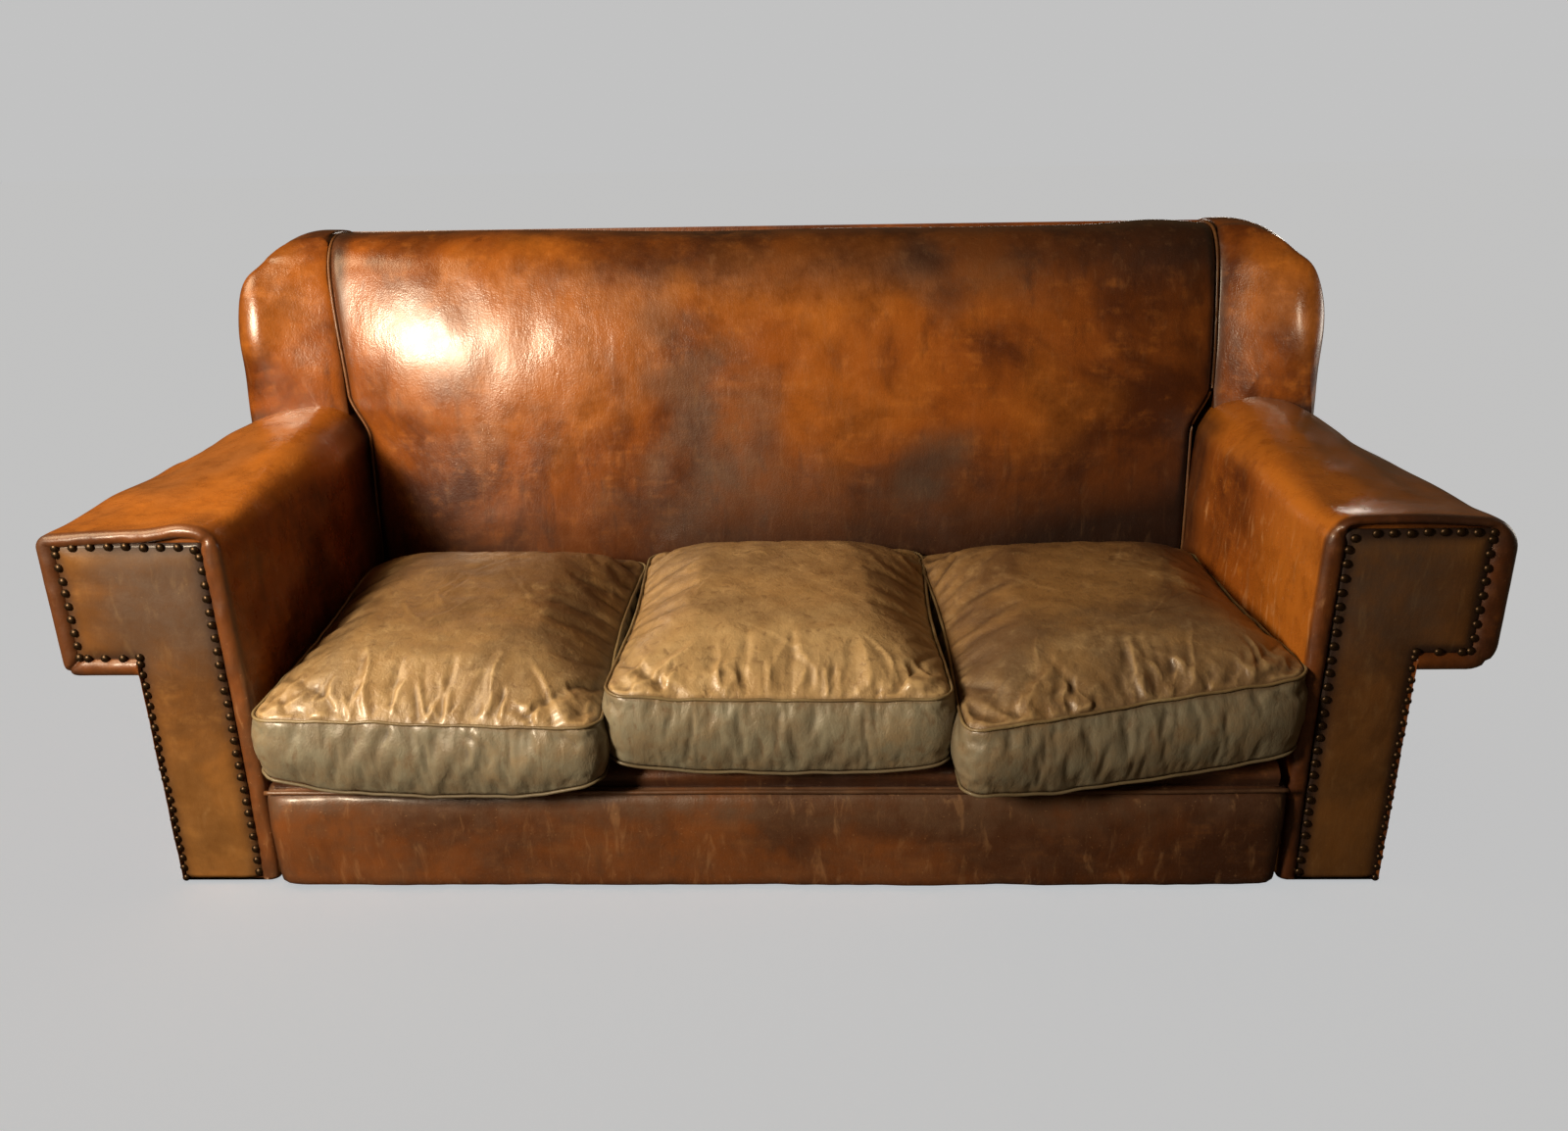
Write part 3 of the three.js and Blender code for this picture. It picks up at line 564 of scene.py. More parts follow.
def arm_ring(y, inset, turn):
    """The arm's whole outline at a depth behind its front, pulled in by the inset on its rolled sides."""
    rise = ARM_RISE * smooth(y / 0.6)
    swell = 0.022 * (0.2 + 0.8 * smooth(y / 0.35))
    top = ARM_TOP + rise - inset * ROLL_TOP[turn] / ROLL
    outer = ARM_OUTER - inset * ROLL_OUTER[turn] / ROLL
    under = ARM_UNDER + inset
    leg = ARM_LEG - 0.13 * inset
    round_out = max(ARM_ROUND[turn] - inset, LEAST_ROUND)

    def inner(z):
        return ARM_INNER + inset - swell * np.sin(np.pi * np.clip((z - BASE) / (top - BASE), 0, 1) ** 0.8)

    round_in = max(0.034 + 0.85 * rise - inset, LEAST_ROUND)
    shoulder = top - round_in
    z = np.linspace(BASE, shoulder, 110)
    path = [np.stack([inner(z), z], 1)]

    def corner(cx, cz, r, start, stop, count):
        angle = np.radians(np.linspace(start, stop, count))
        path.append(np.stack([cx + r * np.cos(angle), cz + r * np.sin(angle)], 1)[1:])

    corner(inner(shoulder) + round_in, shoulder, round_in, 180, 90, 10)
    u = np.linspace(0, 1, 56)[1:]
    start = path[-1][-1, 0]
    level_at = top - 0.004 * u - rise * u**2.2 + 0.004 * np.sin(np.pi * u)
    path.append(np.stack([start + u * (outer - round_out - start), level_at], 1))
    top_end = path[-1][-1, 1]
    corner(outer - round_out, top_end - round_out, round_out, 90, 0, 9)
    z = np.linspace(top_end - round_out, under + round_out, 40)[1:]
    path.append(np.stack([np.full_like(z, outer), z], 1))
    corner(outer - round_out, under + round_out, round_out, 0, -90, 9)
    x = np.linspace(outer - round_out, leg, 24)[1:]
    path.append(np.stack([x, np.full_like(x, under)], 1))
    z = np.linspace(under, BASE, 60)[1:]
    path.append(np.stack([np.full_like(z, leg), z], 1))
    return np.vstack(path)


def build_arm(side, turn):
    """The leather of an arm: a padded roll around its front, then its outline from front to rear."""
    half_turn = np.radians(np.linspace(180, 0, 19))
    bead = [(ROLL / 2 * (1 - math.cos(a)), 0.005 - 0.0125 * math.sin(a)) for a in half_turn]
    front = [(ROLL + 0.006, 0.006)] + bead + [(0, 0.012)]
    stations = 84
    depths = np.array([y for _, y in front] + list(np.linspace(0.022, ARM_LENGTH, stations)))
    insets = np.array([i for i, _ in front] + [0.0] * stations)
    rings = np.stack([arm_ring(max(y, 0), i, turn) for y, i in zip(depths, insets)])
    grid = np.empty((*rings.shape[:2], 3))
    grid[..., 0] = rings[..., 0]
    grid[..., 2] = rings[..., 1]
    grid[..., 1] = np.minimum(depths[:, None] + ARM_FRONT, panel_plane(grid[..., 2]) - 0.004)
    # soft unevenness of the stuffing, strongest on the inside and the top
    loose = smooth((grid[..., 1] - ARM_FRONT) / 0.05)
    away = np.stack([grid[..., 0] - 0.96, np.zeros_like(grid[..., 0]), grid[..., 2] - 0.45], -1)
    away /= np.linalg.norm(away, axis=-1)[..., None] + 1e-9
    seed = 20 if turn < 0 else 60
    lumps = 0.0035 * ripple(grid, 0.3, seed) + 0.0014 * ripple(grid * (1, 0.6, 1), 0.09, seed + 1)
    gathered = np.exp(-(((insets - 0.017) / 0.012) ** 2))[:, None] * (depths < 0.02)[:, None]
    drawn = grid * (1, 0.2, 1)
    puckers = 0.0009 * ripple(drawn, 0.07, seed + 2) + 0.0004 * ripple(drawn, 0.025, seed + 3)
    grid += away * (lumps * loose)[..., None]
    grid[..., 1] += puckers * gathered
    # mitred folds across the roll at its inner top corner and its lower outer corner
    for corner_x, corner_z in ((ARM_INNER, ARM_TOP), (ARM_OUTER, ARM_UNDER)):
        off_line = (grid[..., 0] - corner_x + grid[..., 2] - corner_z) / math.sqrt(2)
        reach = np.hypot(grid[..., 0] - corner_x, grid[..., 2] - corner_z)
        fold = np.exp(-((off_line / 0.0035) ** 2)) * smooth((0.055 - reach) / 0.02) * (depths < 0.03)[:, None]
        grid[..., 1] += 0.0045 * fold
    # the front of the top is padded up: over its inner third on the left arm, right across on the right arm
    x, y, z = grid[..., 0], grid[..., 1], grid[..., 2]
    near_front = smooth((0.11 - (y - ARM_FRONT)) / 0.1) * smooth((z - ARM_TOP + 0.06) / 0.04)
    if turn < 0:
        lift = 0.010 * np.exp(-(((x - 0.872) / 0.042) ** 2))
    else:
        lift = 0.009 * smooth((x - 0.815) / 0.05) * smooth((ARM_OUTER + 0.01 - x) / 0.06)
    grid[..., 2] += lift * near_front
    grid[..., 2] = np.maximum(grid[..., 2], BASE)
    grid[..., 0] = np.minimum(grid[..., 0], ARM_OUTER + 0.004)
    grid[..., 0] *= turn
    made = net(f"{side}_arm_leather", grid, loop=True, ends=True)
    outward(made)
    return made


# how strongly each arm is worn and painted: the left one is greyer, and the right one is more rubbed and
# scuffed, with painted shade over its top
WEAR_AND_SHADE_KINDS = ("grey_edge", "grey_top", "dark_edge", "dark_outer", "dark_top", "rub", "scuff")
ARM_WEAR_AND_SHADE = {
    -1: dict(zip(WEAR_AND_SHADE_KINDS, (0.4, 0.35, 0.35, 0.3, 0.0, 0.1, 0.25))),
    1: dict(zip(WEAR_AND_SHADE_KINDS, (0.15, 0.05, 0.45, 0.0, 0.3, 0.75, 1.0))),
}

for side, turn in SIDES:
    arm = build_arm(side, turn)
    wear_and_shade = ARM_WEAR_AND_SHADE[turn]
    p = places(arm)
    out, height = np.abs(p[:, 0]), p[:, 2]
    depth = p[:, 1] - ARM_FRONT
    inside = smooth((0.845 - out) / 0.02)
    # painted shade on the inside, below the seat and deepening towards the back corner
    under_seat_shade = smooth((0.33 - height) / 0.1) * inside * smooth((depth - 0.05) / 0.1)
    corner_dirt = inside * smooth((depth - 0.45) / 0.12) * 0.7
    edge = smooth((0.012 - depth) / 0.012)
    # a painted highlight on the low inner roll of the left arm, laid on as grey and pale scuffs
    knee_highlight = smooth((0.46 - height) / 0.12) * inside * smooth((0.05 - depth) / 0.03) * (turn < 0)
    paint(
        arm,
        grey=wear_and_shade["grey_edge"] * edge
        + 0.3 * knee_highlight
        + spots(p, ((turn * 1.0, ARM_FRONT + 0.3, 0.63), (0.1, 0.2, 0.05), wear_and_shade["grey_top"])),
        # darker on the front roll, under the overhang and at the outer front corner, and painted shade over the
        # right arm's top
        dirt=np.clip(under_seat_shade + corner_dirt + wear_and_shade["dark_edge"] * edge * (1 - knee_highlight), 0, 0.85)
        + 0.25 * smooth((0.4 - height) / 0.03) * (out > 0.985)
        + wear_and_shade["dark_outer"] * smooth((out - 1.06) / 0.02) * smooth((0.03 - depth) / 0.02)
        + wear_and_shade["dark_top"] * smooth((out - 0.9) / 0.08) * smooth((height - 0.56) / 0.03),
        # the top is painted paler, partly rubbing and partly a painted highlight where the lamp falls
        rub=0.7 * smooth((height - 0.585) / 0.03) * (1 - edge)
        + wear_and_shade["rub"] * inside * smooth((0.3 - depth) / 0.2) * (1 - edge),
        scuff=spots(p, ((turn * 0.8, ARM_FRONT + 0.25, 0.48), (0.1, 0.25, 0.14), wear_and_shade["scuff"]))
        + 0.12
        + 0.7 * knee_highlight,
    )
    hidden = [f"{side}_arm_cover", f"{side}_arm_stuffing", f"{side}_outside_arm_cover"]
    dress(arm, body_leather, "leather_body", *hidden)

facing_tones = ("#8e5d2b", "#613e1c", "#a37236", "#5f4c3e", "#c8a878")
facing_leather = leather("stretched_facing_cowhide", facing_tones, 0.34, 0.3, 0.06, 5.0)
LEG_EDGE = 0.003
FOOT_GAP = 0.002


def facing_corners(inset, turn):
    """The L outline of the facing, from the foot of its inner edge clockwise."""
    return [
        (ARM_INNER + ROLL + inset, BASE + FOOT_GAP),
        (ARM_INNER + ROLL + inset, ARM_TOP - ROLL_TOP[turn] - inset),
        (ARM_OUTER - ROLL_OUTER[turn] - inset, ARM_TOP - ROLL_TOP[turn] - inset),
        (ARM_OUTER - ROLL_OUTER[turn] - inset, ARM_UNDER + ROLL + inset),
        (ARM_LEG - LEG_EDGE - inset, ARM_UNDER + ROLL + inset),
        (ARM_LEG - LEG_EDGE - inset, BASE + FOOT_GAP),
    ]


def stops(*ends):
    """Even steps of about 6 mm that land on every given value."""
    runs = [np.linspace(a, b, round((b - a) / 0.006)) for a, b in zip(ends, ends[1:])]
    return np.unique(np.concatenate(runs))


def build_facing(side, turn):
    """A thin, softly crowned panel in the shape of the L, 3 mm past its outline so that the roll covers it."""
    (x0, z0), (_, z1), (x2, _), (_, z2), (x1, _), _ = facing_corners(-0.003, turn)
    columns, rows = stops(x0, x1, x2), stops(z0, z2, z1)
    x, z = np.meshgrid(columns, rows, indexing="ij")

    def from_edge(x, z):
        """How far a point of the L is from its nailed edges, which leave out the foot."""
        upper = np.minimum(x2 - x, np.where(x > x1, z - z2, np.hypot(x1 - x, z - z2)))
        return np.minimum.reduce([x - x0, z1 - z, np.where(z > z2, upper, x1 - x)])

    edge = from_edge(x, z)
    crown = 0.0055 * (1 - (1 - np.clip(edge / 0.045, 0, 1)) ** 2.4)
    points = np.stack([x, ARM_FRONT + 0.0005 - crown, z], -1)
    points[..., 1] -= 0.0008 * ripple(points, 0.1, 31) * np.clip(edge / 0.02, 0, 1)
    kept = (x <= x1 + 1e-9) | (z >= z2 - 1e-9)
    count = kept.sum()
    index = -np.ones(kept.shape, int)
    index[kept] = np.arange(count)
    front = points[kept]
    back = front.copy()
    back[:, 1] = ARM_FRONT + 0.004
    faces = []
    for i in range(len(columns) - 1):
        for j in range(len(rows) - 1):
            quad = (index[i, j], index[i + 1, j], index[i + 1, j + 1], index[i, j + 1])
            if min(quad) >= 0:
                faces.append(quad)
                faces.append(tuple(v + count for v in quad[::-1]))
    sides = [pair for quad in faces[::2] for pair in zip(quad, quad[1:] + quad[:1])]
    known = set(sides)
    for a, b in sides:
        if (b, a) not in known:
            faces.append((b, a, a + count, b + count))
    both = np.vstack([front, back])
    both[:, 0] *= turn
    made = plain_mesh(f"{side}_arm_facing_leather", both, faces)
    outward(made)
    p = places(made)
    out, height = np.abs(p[:, 0]), p[:, 2]
    high = smooth((height - 0.33) / 0.15)
    paint(
        made,
        grey=0.75 * high * smooth((1.06 - out) / 0.1) + 0.15,
        # darker along the nailed edges, from dirt and painted shade; the right facing is painted darker all
        # over as shade, the left one over its upper block
        dirt=0.75 * smooth((0.030 - from_edge(out, height)) / 0.028) ** 1.5
        + (0.46 if turn > 0 else 0.22 * high * smooth((1.05 - out) / 0.06)),
        rub=0.35 * smooth((0.35 - height) / 0.2) + 0.5 * high * smooth((height - 0.54) / 0.04),
        scuff=0.15,
    )
    dress(made, facing_leather, "leather_facing", f"{side}_arm_facing")


for side, turn in SIDES:
    build_facing(side, turn)

# ---- decorative nails ----
# Domed upholstery nails in antique bronze plate, dark with brighter worn specks. They are driven by hand along
# the facing's edge, so their spacing and their tilt vary a little. The heads are drawn 13 mm across, a little
# more than the common 11 mm, so that they show as strongly as the real ones.

NAIL_INSET = 0.002
NAIL_PROUD = 0.003
NAIL_RADIUS = 0.0067
antique_bronze, bronze_tree, bronze_shader, bronze_specks = patchy_metal(
    "antique_bronze_plate", 400.0, 4.0, 0.25, 0.5, 0.85
)
bronze_tones = {"Factor": bronze_specks, 6: linear("#1d1510"), 7: linear("#57442f")}
bronze_tone = node(bronze_tree, "ShaderNodeMix", bronze_tones, data_type="RGBA")
bronze_tree.links.new(bronze_tone.outputs[2], bronze_shader.inputs["Base Color"])


def nail_tree():
    """Geometry nodes that set domed heads along a line at a named spacing and size."""
    tree = bpy.data.node_groups.new("nails_along_a_line", "GeometryNodeTree")
    face = tree.interface
    face.new_socket("Line", in_out="INPUT", socket_type="NodeSocketGeometry")
    sizes = {"Spacing": 0.022, "Head radius": 0.0055, "Head height": 0.0046, "Unevenness": 0.0012}
    for label, value in sizes.items():
        face.new_socket(label, in_out="INPUT", socket_type="NodeSocketFloat").default_value = value
    face.new_socket("Finish", in_out="INPUT", socket_type="NodeSocketMaterial")
    face.new_socket("Nails", in_out="OUTPUT", socket_type="NodeSocketGeometry")
    given = node(tree, "NodeGroupInput").outputs

    def step(kind, inputs, **settings):
        return node(tree, kind, inputs, **settings).outputs[0]

    spaced = {"Curve": given["Line"], "Length": given["Spacing"]}
    points = step("GeometryNodeCurveToPoints", spaced, mode="LENGTH")
    low, high = (
        step("ShaderNodeVectorMath", {0: reach, "Scale": given["Unevenness"]}, operation="SCALE")
        for reach in ((-1, -0.15, -1), (1, 0.15, 1))
    )
    jitter = step("FunctionNodeRandomValue", {0: low, 1: high, "Seed": 7}, data_type="FLOAT_VECTOR")
    moved = step("GeometryNodeSetPosition", {"Geometry": points, "Offset": jitter})
    dome = step("GeometryNodeMeshUVSphere", {"Segments": 14, "Rings": 8, "Radius": 1.0})
    radius, tall = given["Head radius"], given["Head height"]
    size = step("ShaderNodeCombineXYZ", {0: radius, 1: tall, 2: radius})
    head = step("GeometryNodeTransform", {"Geometry": dome, "Scale": size})
    leaning = {0: (-0.16, -0.1, -0.16), 1: (0.16, 0.1, 0.16), "Seed": 11}
    tilt = step("FunctionNodeRandomValue", leaning, data_type="FLOAT_VECTOR")
    placed = step("GeometryNodeInstanceOnPoints", {"Points": moved, "Instance": head, "Rotation": tilt})
    real = step("GeometryNodeRealizeInstances", {"Geometry": placed})
    rounded = step("GeometryNodeSetShadeSmooth", {"Geometry": real})
    coated = step("GeometryNodeSetMaterial", {"Geometry": rounded, "Material": given["Finish"]})
    node(tree, "NodeGroupOutput", {"Nails": coated})
    return tree


nails = nail_tree()


def line_object(name, route):
    """An open polyline for geometry nodes to follow."""
    line = bpy.data.curves.new(name, "CURVE")
    line.dimensions = "3D"
    spline = line.splines.new("POLY")
    spline.points.add(len(route) - 1)
    for point, place in zip(spline.points, route):
        point.co = (*place, 1)
    made = bpy.data.objects.new(name, line)
    bpy.context.scene.collection.objects.link(made)
    return made


def made_by(tree, holder, name, **values):
    """Runs a geometry nodes tree on an object and keeps the result as a plain mesh."""
    modifier = holder.modifiers.new("nodes", "NODES")
    modifier.node_group = tree
    for socket in tree.interface.items_tree:
        if socket.in_out == "INPUT" and socket.name in values:
            modifier[socket.identifier] = values[socket.name]
    bpy.context.view_layer.update()
    depsgraph = bpy.context.evaluated_depsgraph_get()
    data = bpy.data.meshes.new_from_object(holder.evaluated_get(depsgraph))
    data.name = name
    bpy.data.objects.remove(holder)
    made = bpy.data.objects.new(name, data)
    bpy.context.scene.collection.objects.link(made)
    return made


def joined(name, pieces):
    """Several objects as one mesh."""
    bpy.ops.object.select_all(action="DESELECT")
    for piece in pieces:
        piece.select_set(True)
    bpy.context.view_layer.objects.active = pieces[0]
    if len(pieces) > 1:
        bpy.ops.object.join()
    pieces[0].name = pieces[0].data.name = name
    return pieces[0]


for side, turn, corner_gap in (("left", -1, 0.017), ("right", 1, 0.026)):
    foot, top_in, top_out, low_out, low_in, leg_foot = facing_corners(NAIL_INSET, turn)
    bend = corner_gap * 0.3
    corner_nail = (top_in[0] + bend, top_in[1] - bend)
    stretches = [  # start, end, spacing and size of the heads
        (foot, (top_in[0], top_in[1] - corner_gap), 0.0213, 1.0),
        ((top_in[0] + corner_gap, top_out[1]), top_out, 0.0236, 1.0),
        (top_out, low_out, 0.0205, 1.0),
        (low_out, low_in, 0.0255, 1.0),
        (low_in, leg_foot, 0.0182, 0.92),
        ((corner_nail[0], corner_nail[1] - 0.003), (corner_nail[0], corner_nail[1] + 0.004), 0.009, 1.0),
    ]
    rows = []
    for number, (start, end, spacing, scale) in enumerate(stretches):
        first = min(spacing * 0.5 / math.dist(start, end), 0.5)
        route = []
        for t in (first, 1):
            x, z = (start[k] + (end[k] - start[k]) * t for k in (0, 1))
            route.append((turn * x, ARM_FRONT - NAIL_PROUD, z))
        values = {"Spacing": spacing, "Head radius": NAIL_RADIUS * scale, "Finish": antique_bronze}
        rows.append(made_by(nails, line_object("nail_line", route), f"{side}_nails_{number}", **values))
    row = joined(f"{side}_arm_nails", rows)
    dress(row, antique_bronze, "bronzed_nail")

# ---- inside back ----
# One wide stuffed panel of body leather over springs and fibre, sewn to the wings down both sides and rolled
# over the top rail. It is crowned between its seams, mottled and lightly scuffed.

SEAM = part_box("inside_back_cover")[1].x
SEAM_BELOW = 0.803  # the seam's distance from the middle between the arms, below 0.6 m
back_profile = np.array(  # depth behind the arms' fronts and height, from the seat up and over the top rail
    [
        (0.592, 0.226),
        (0.580, 0.320),
        (0.584, 0.440),
        (0.600, 0.600),
        (0.616, 0.760),
        (0.641, 0.880),
        (0.660, 0.935),
        (0.690, 0.968),
        (0.730, 0.979),
        (0.775, 0.979),
        (0.815, 0.968),
        (0.838, 0.940),
    ]
)


def spline(points, count):
    """Evenly spaced points on a smooth curve through the given ones."""
    padded = np.vstack([2 * points[0] - points[1], points, 2 * points[-1] - points[-2]])
    curve = []
    for t in np.linspace(0, len(points) - 1 - 1e-9, 400):
        i = int(t)
        f = t - i
        a, b, c, d = padded[i : i + 4]
        bent = (2 * a - 5 * b + 4 * c - d) * f**2 + (3 * b - 3 * c + d - a) * f**3
        curve.append(0.5 * (2 * b + (c - a) * f + bent))
    curve = np.array(curve)
    reach = np.concatenate([[0], np.cumsum(np.linalg.norm(np.diff(curve, axis=0), axis=1))])
    even = np.linspace(0, reach[-1], count)
    return np.stack([np.interp(even, reach, curve[:, k]) for k in range(curve.shape[1])], 1)


side_view = spline(back_profile, 110)


def half_width(z):
    """How far the seams of the back stand from the middle. They spread above the arms."""
    return SEAM_BELOW + (SEAM - SEAM_BELOW) * smooth((z - 0.60) / 0.09)


def fanned(points):
    """Carries the left seam outwards towards the top, where the leather of the back has crept over."""
    near = np.exp(-(((points[..., 0] + 0.86) / 0.12) ** 2))
    moved = points.copy()
    moved[..., 0] -= 0.026 * near * smooth((points[..., 2] - 0.66) / 0.3)
    return moved


def build_back():
    """A crowned panel that dips into its seams and rolls over the top, closed by a copy of itself behind."""
    u = 0.6 * np.sin(np.linspace(-math.pi / 2, math.pi / 2, 181)) + 0.4 * np.linspace(-1, 1, 181)
    across, height = np.meshgrid(u, side_view[:, 1])
    half = half_width(height)
    y = np.broadcast_to(side_view[:, 0][:, None], height.shape)
    bulge = (1 - np.abs(across) ** 6) * np.sin(np.pi * np.clip((height - 0.06), 0, 1))
    valley = smooth((np.abs(across) * half - half + 0.022) / 0.022) ** 2
    upright = smooth((0.80 - y) / 0.15)
    depth = ARM_FRONT + y - 0.042 * bulge * upright + 0.016 * valley * upright
    front = np.stack([across * half, depth, height], -1)
    waves = 0.0026 * ripple(front * (1, 1, 0.7), 0.45, 71) + 0.0005 * ripple(front * (1, 1, 0.35), 0.08, 72)
    front[..., 1] -= waves * upright * (1 - valley)
    hump = 0.010 * np.exp(-(((front[..., 0] - 0.74) / 0.09) ** 2))
    hump = hump + 0.003 * ripple(front * (1, 0, 0), 0.5, 73)
    front[..., 2] += hump * smooth((height - 0.90) / 0.05)
    rear = front[::-1].copy()
    inside_panel = np.minimum(panel_plane(rear[..., 2]) - 0.006, rear[..., 1] + 0.1)
    rear[..., 1] = np.maximum(rear[..., 1] + 0.02, inside_panel)
    rear[..., 2] = np.minimum(rear[..., 2], 0.955)
    front[..., 1] = np.minimum(front[..., 1], panel_plane(front[..., 2]) - 0.0035)
    rear[..., 1] = np.minimum(rear[..., 1], panel_plane(rear[..., 2]) - 0.006)
    made = net("inside_back_leather", fanned(np.concatenate([front, rear, front[:1]])))
    outward(made)
    return made


def back_spots(points, *marks):
    """Patches on the back. Each mark is X, depth and height, its radii along X and Z, and a strength."""
    placed = [((x, ARM_FRONT + y, z), (wide, 0.3, tall), strength) for x, y, z, wide, tall, strength in marks]
    return spots(points, *placed)


inside_back = build_back()
p = places(inside_back)
paint(
    inside_back,
    grey=back_spots(
        p,
        (-0.12, 0.58, 0.62, 0.12, 0.17, 0.6),
        (0.30, 0.58, 0.55, 0.09, 0.08, 0.75),
        (-0.23, 0.58, 0.83, 0.07, 0.07, 0.4),
        (0.40, 0.62, 0.90, 0.16, 0.07, 0.35),
        (0.02, 0.58, 0.48, 0.4, 0.09, 0.35),
    ),
    # darker into the seams; painted shade over the lower back, towards the right, over the top and low on the
    # right; the blotches that follow are the leather's own
    dirt=0.75 * smooth((np.abs(p[:, 0]) - half_width(p[:, 2]) + 0.03) / 0.03)
    + 0.6 * smooth((0.58 - p[:, 2]) / 0.2)
    + 0.30 * smooth((p[:, 0] - 0.2) / 0.6)
    + 0.55 * smooth((p[:, 2] - 0.84) / 0.1) * smooth((p[:, 0] + 0.5) / 0.4)
    + 0.28 * smooth((p[:, 0] + 0.35) / 0.2) * smooth((0.66 - p[:, 2]) / 0.12)
    + back_spots(
        p,
        (-0.17, 0.58, 0.70, 0.07, 0.10, 0.35),
        (-0.02, 0.58, 0.64, 0.05, 0.12, 0.25),
        (0.28, 0.58, 0.56, 0.07, 0.06, 0.3),
        (0.28, 0.62, 0.88, 0.09, 0.05, 0.25),
    ),
    # paler patches; the large one at the upper left is partly a painted highlight where the lamp falls
    rub=back_spots(
        p,
        (-0.45, 0.6, 0.78, 0.3, 0.2, 0.5),
        (0.10, 0.6, 0.88, 0.35, 0.09, 0.45),
        (0.10, 0.6, 0.66, 0.2, 0.14, 0.35),
        (0.52, 0.6, 0.66, 0.12, 0.1, 0.4),
    ),
    scuff=0.12,
)
dress(inside_back, body_leather, "leather_body", "inside_back_cover", "back_stuffing")

# ---- wings ----
# The rounded ends of the back, each a firm pillow of body leather that stands on the arm, with a piped seam
# where it meets the back.

wing_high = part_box("right_wing_cover")[1]
WING_SEAM = SEAM + 0.003
WING_BOTTOM = 0.585
ROLL_OVER = 0.945  # the height at which the back starts to roll over
rising = side_view[: np.searchsorted(side_view[:, 1], ROLL_OVER)]


def wing_outline():
    """The wing seen from the front, from the foot of its outer edge over its round top and back."""
    outer, top = wing_high.x, wing_high.z
    wide, tall, small = 0.175, 0.215, 0.02
    round_over = np.radians(np.linspace(0, 90, 40))
    round_in = np.radians(np.linspace(90, 180, 8))
    runs = [
        (np.full(23, outer), np.linspace(WING_BOTTOM, top - tall, 24)[:-1]),
        (outer - wide + wide * np.cos(round_over), top - tall + tall * np.sin(round_over)),
        (np.linspace(outer - wide, WING_SEAM + small, 6)[1:-1], np.full(4, top)),
        (WING_SEAM + small + small * np.cos(round_in), top - small + small * np.sin(round_in)),
        (np.full(43, WING_SEAM), np.linspace(top - small, WING_BOTTOM, 44)[1:]),
        (np.linspace(WING_SEAM, outer, 26)[1:-1], np.full(24, WING_BOTTOM)),
    ]
    return np.vstack([np.stack(run, 1) for run in runs])


def build_wing(side, turn):
    """A pillow: a domed front that starts from a tall oval, a softly swelled border and a flat rear."""
    full = wing_outline()
    width = wing_high.x - WING_SEAM
    outer = np.clip((full[:, 0] - WING_SEAM) / width, 0, 1)
    outline = full.copy()
    outline[:, 0] -= 0.021 * outer * (1 - 0.6 * smooth((full[:, 1] - 0.70) / 0.27))
    middle = np.array([WING_SEAM + 0.70 * width, 0.83])
    away = outline - middle
    oval = middle + away / np.maximum(np.hypot(away[:, 0] / 0.052, away[:, 1] / 0.12), 1e-6)[:, None]
    rings = []
    for s in np.sin(np.linspace(0.03, math.pi / 2, 34)):
        flat = middle + (oval - middle) * s * (1 - s**5) + (outline - middle) * s * s**5
        beside_back = np.interp(flat[:, 1], rising[:, 1], rising[:, 0])
        beside_back += 0.8 * np.maximum(flat[:, 1] - ROLL_OVER, 0)
        dome = 0.040 * (1 - s**2.3) ** 0.62
        rings.append(np.stack([flat[:, 0], ARM_FRONT + beside_back + 0.012 - dome, flat[:, 1]], 1))
    edge = rings[-1]
    for share in np.linspace(0.02, 1, 14):
        ring = edge.copy()
        ring[:, 1] = edge[:, 1] + (panel_plane(ring[:, 2]) - 0.003 - edge[:, 1]) * share
        ring[:, 0] += (full - outline)[:, 0] * smooth(share)
        swell = 0.006 * math.sin(math.pi * share) + 0.004 * smooth(share * 3)
        away = ring[:, (0, 2)] - (middle[0], 0.78)
        away /= np.linalg.norm(away, axis=1)[:, None]
        ring[:, 0] += np.where(ring[:, 0] > WING_SEAM + 0.01, away[:, 0] * swell, 0)
        ring[:, 2] += away[:, 1] * swell * (ring[:, 2] > 0.8)
        rings.append(ring)
    grid = np.stack(rings)
    seed = 90 if turn < 0 else 95
    grid[..., 1] -= 0.0022 * ripple(grid, 0.16, seed)
    grid[..., 0] += 0.0012 * ripple(grid, 0.12, seed + 1)
    grid[..., 0] = np.maximum(grid[..., 0], SEAM + 0.001)
    grid[..., 0] *= turn
    made = net(f"{side}_wing_leather", fanned(grid), loop=True, ends=True)
    outward(made)
    p = places(made)
    at_seam = smooth((SEAM + 0.022 - np.abs(p[:, 0])) / 0.022)
    at_arm = smooth((0.672 - p[:, 2]) / 0.03)
    paint(
        made,
        # darker towards the back's seam and the arm
        dirt=0.7 * np.maximum(at_seam, at_arm),
        # a paler patch high on the outer part, where the wing's highlight falls, partly a painted highlight
        rub=spots(p, ((turn * 0.95, ARM_FRONT + 0.6, 0.86), (0.09, 0.2, 0.12), 0.45)),
        grey=0.0,
        scuff=0.15,
    )
    dress(made, body_leather, "leather_body", f"{side}_wing_cover", f"{side}_wing_stuffing")


WELT_RADIUS = 0.003
WELT_FOOT = 0.345  # it starts behind the cushions

for side, turn in SIDES:
    build_wing(side, turn)
    over = side_view[side_view[:, 1] > WELT_FOOT]
    sunk = 0.009 * smooth((0.80 - over[:, 0]) / 0.15)
    wide = half_width(over[:, 1]) - 0.002
    line = np.stack([turn * wide, ARM_FRONT + over[:, 0] + sunk, over[:, 1] + 0.001], 1)
    welt = tube(f"{side}_wing_welt", fanned(line), WELT_RADIUS)
    paint(welt, dirt=0.3, rub=0.2)
    dress(welt, piping_leather, "leather_body")

# ---- outside back ----
# One flat panel of body leather tacked over the whole rear. It is duller and less worn than the front.

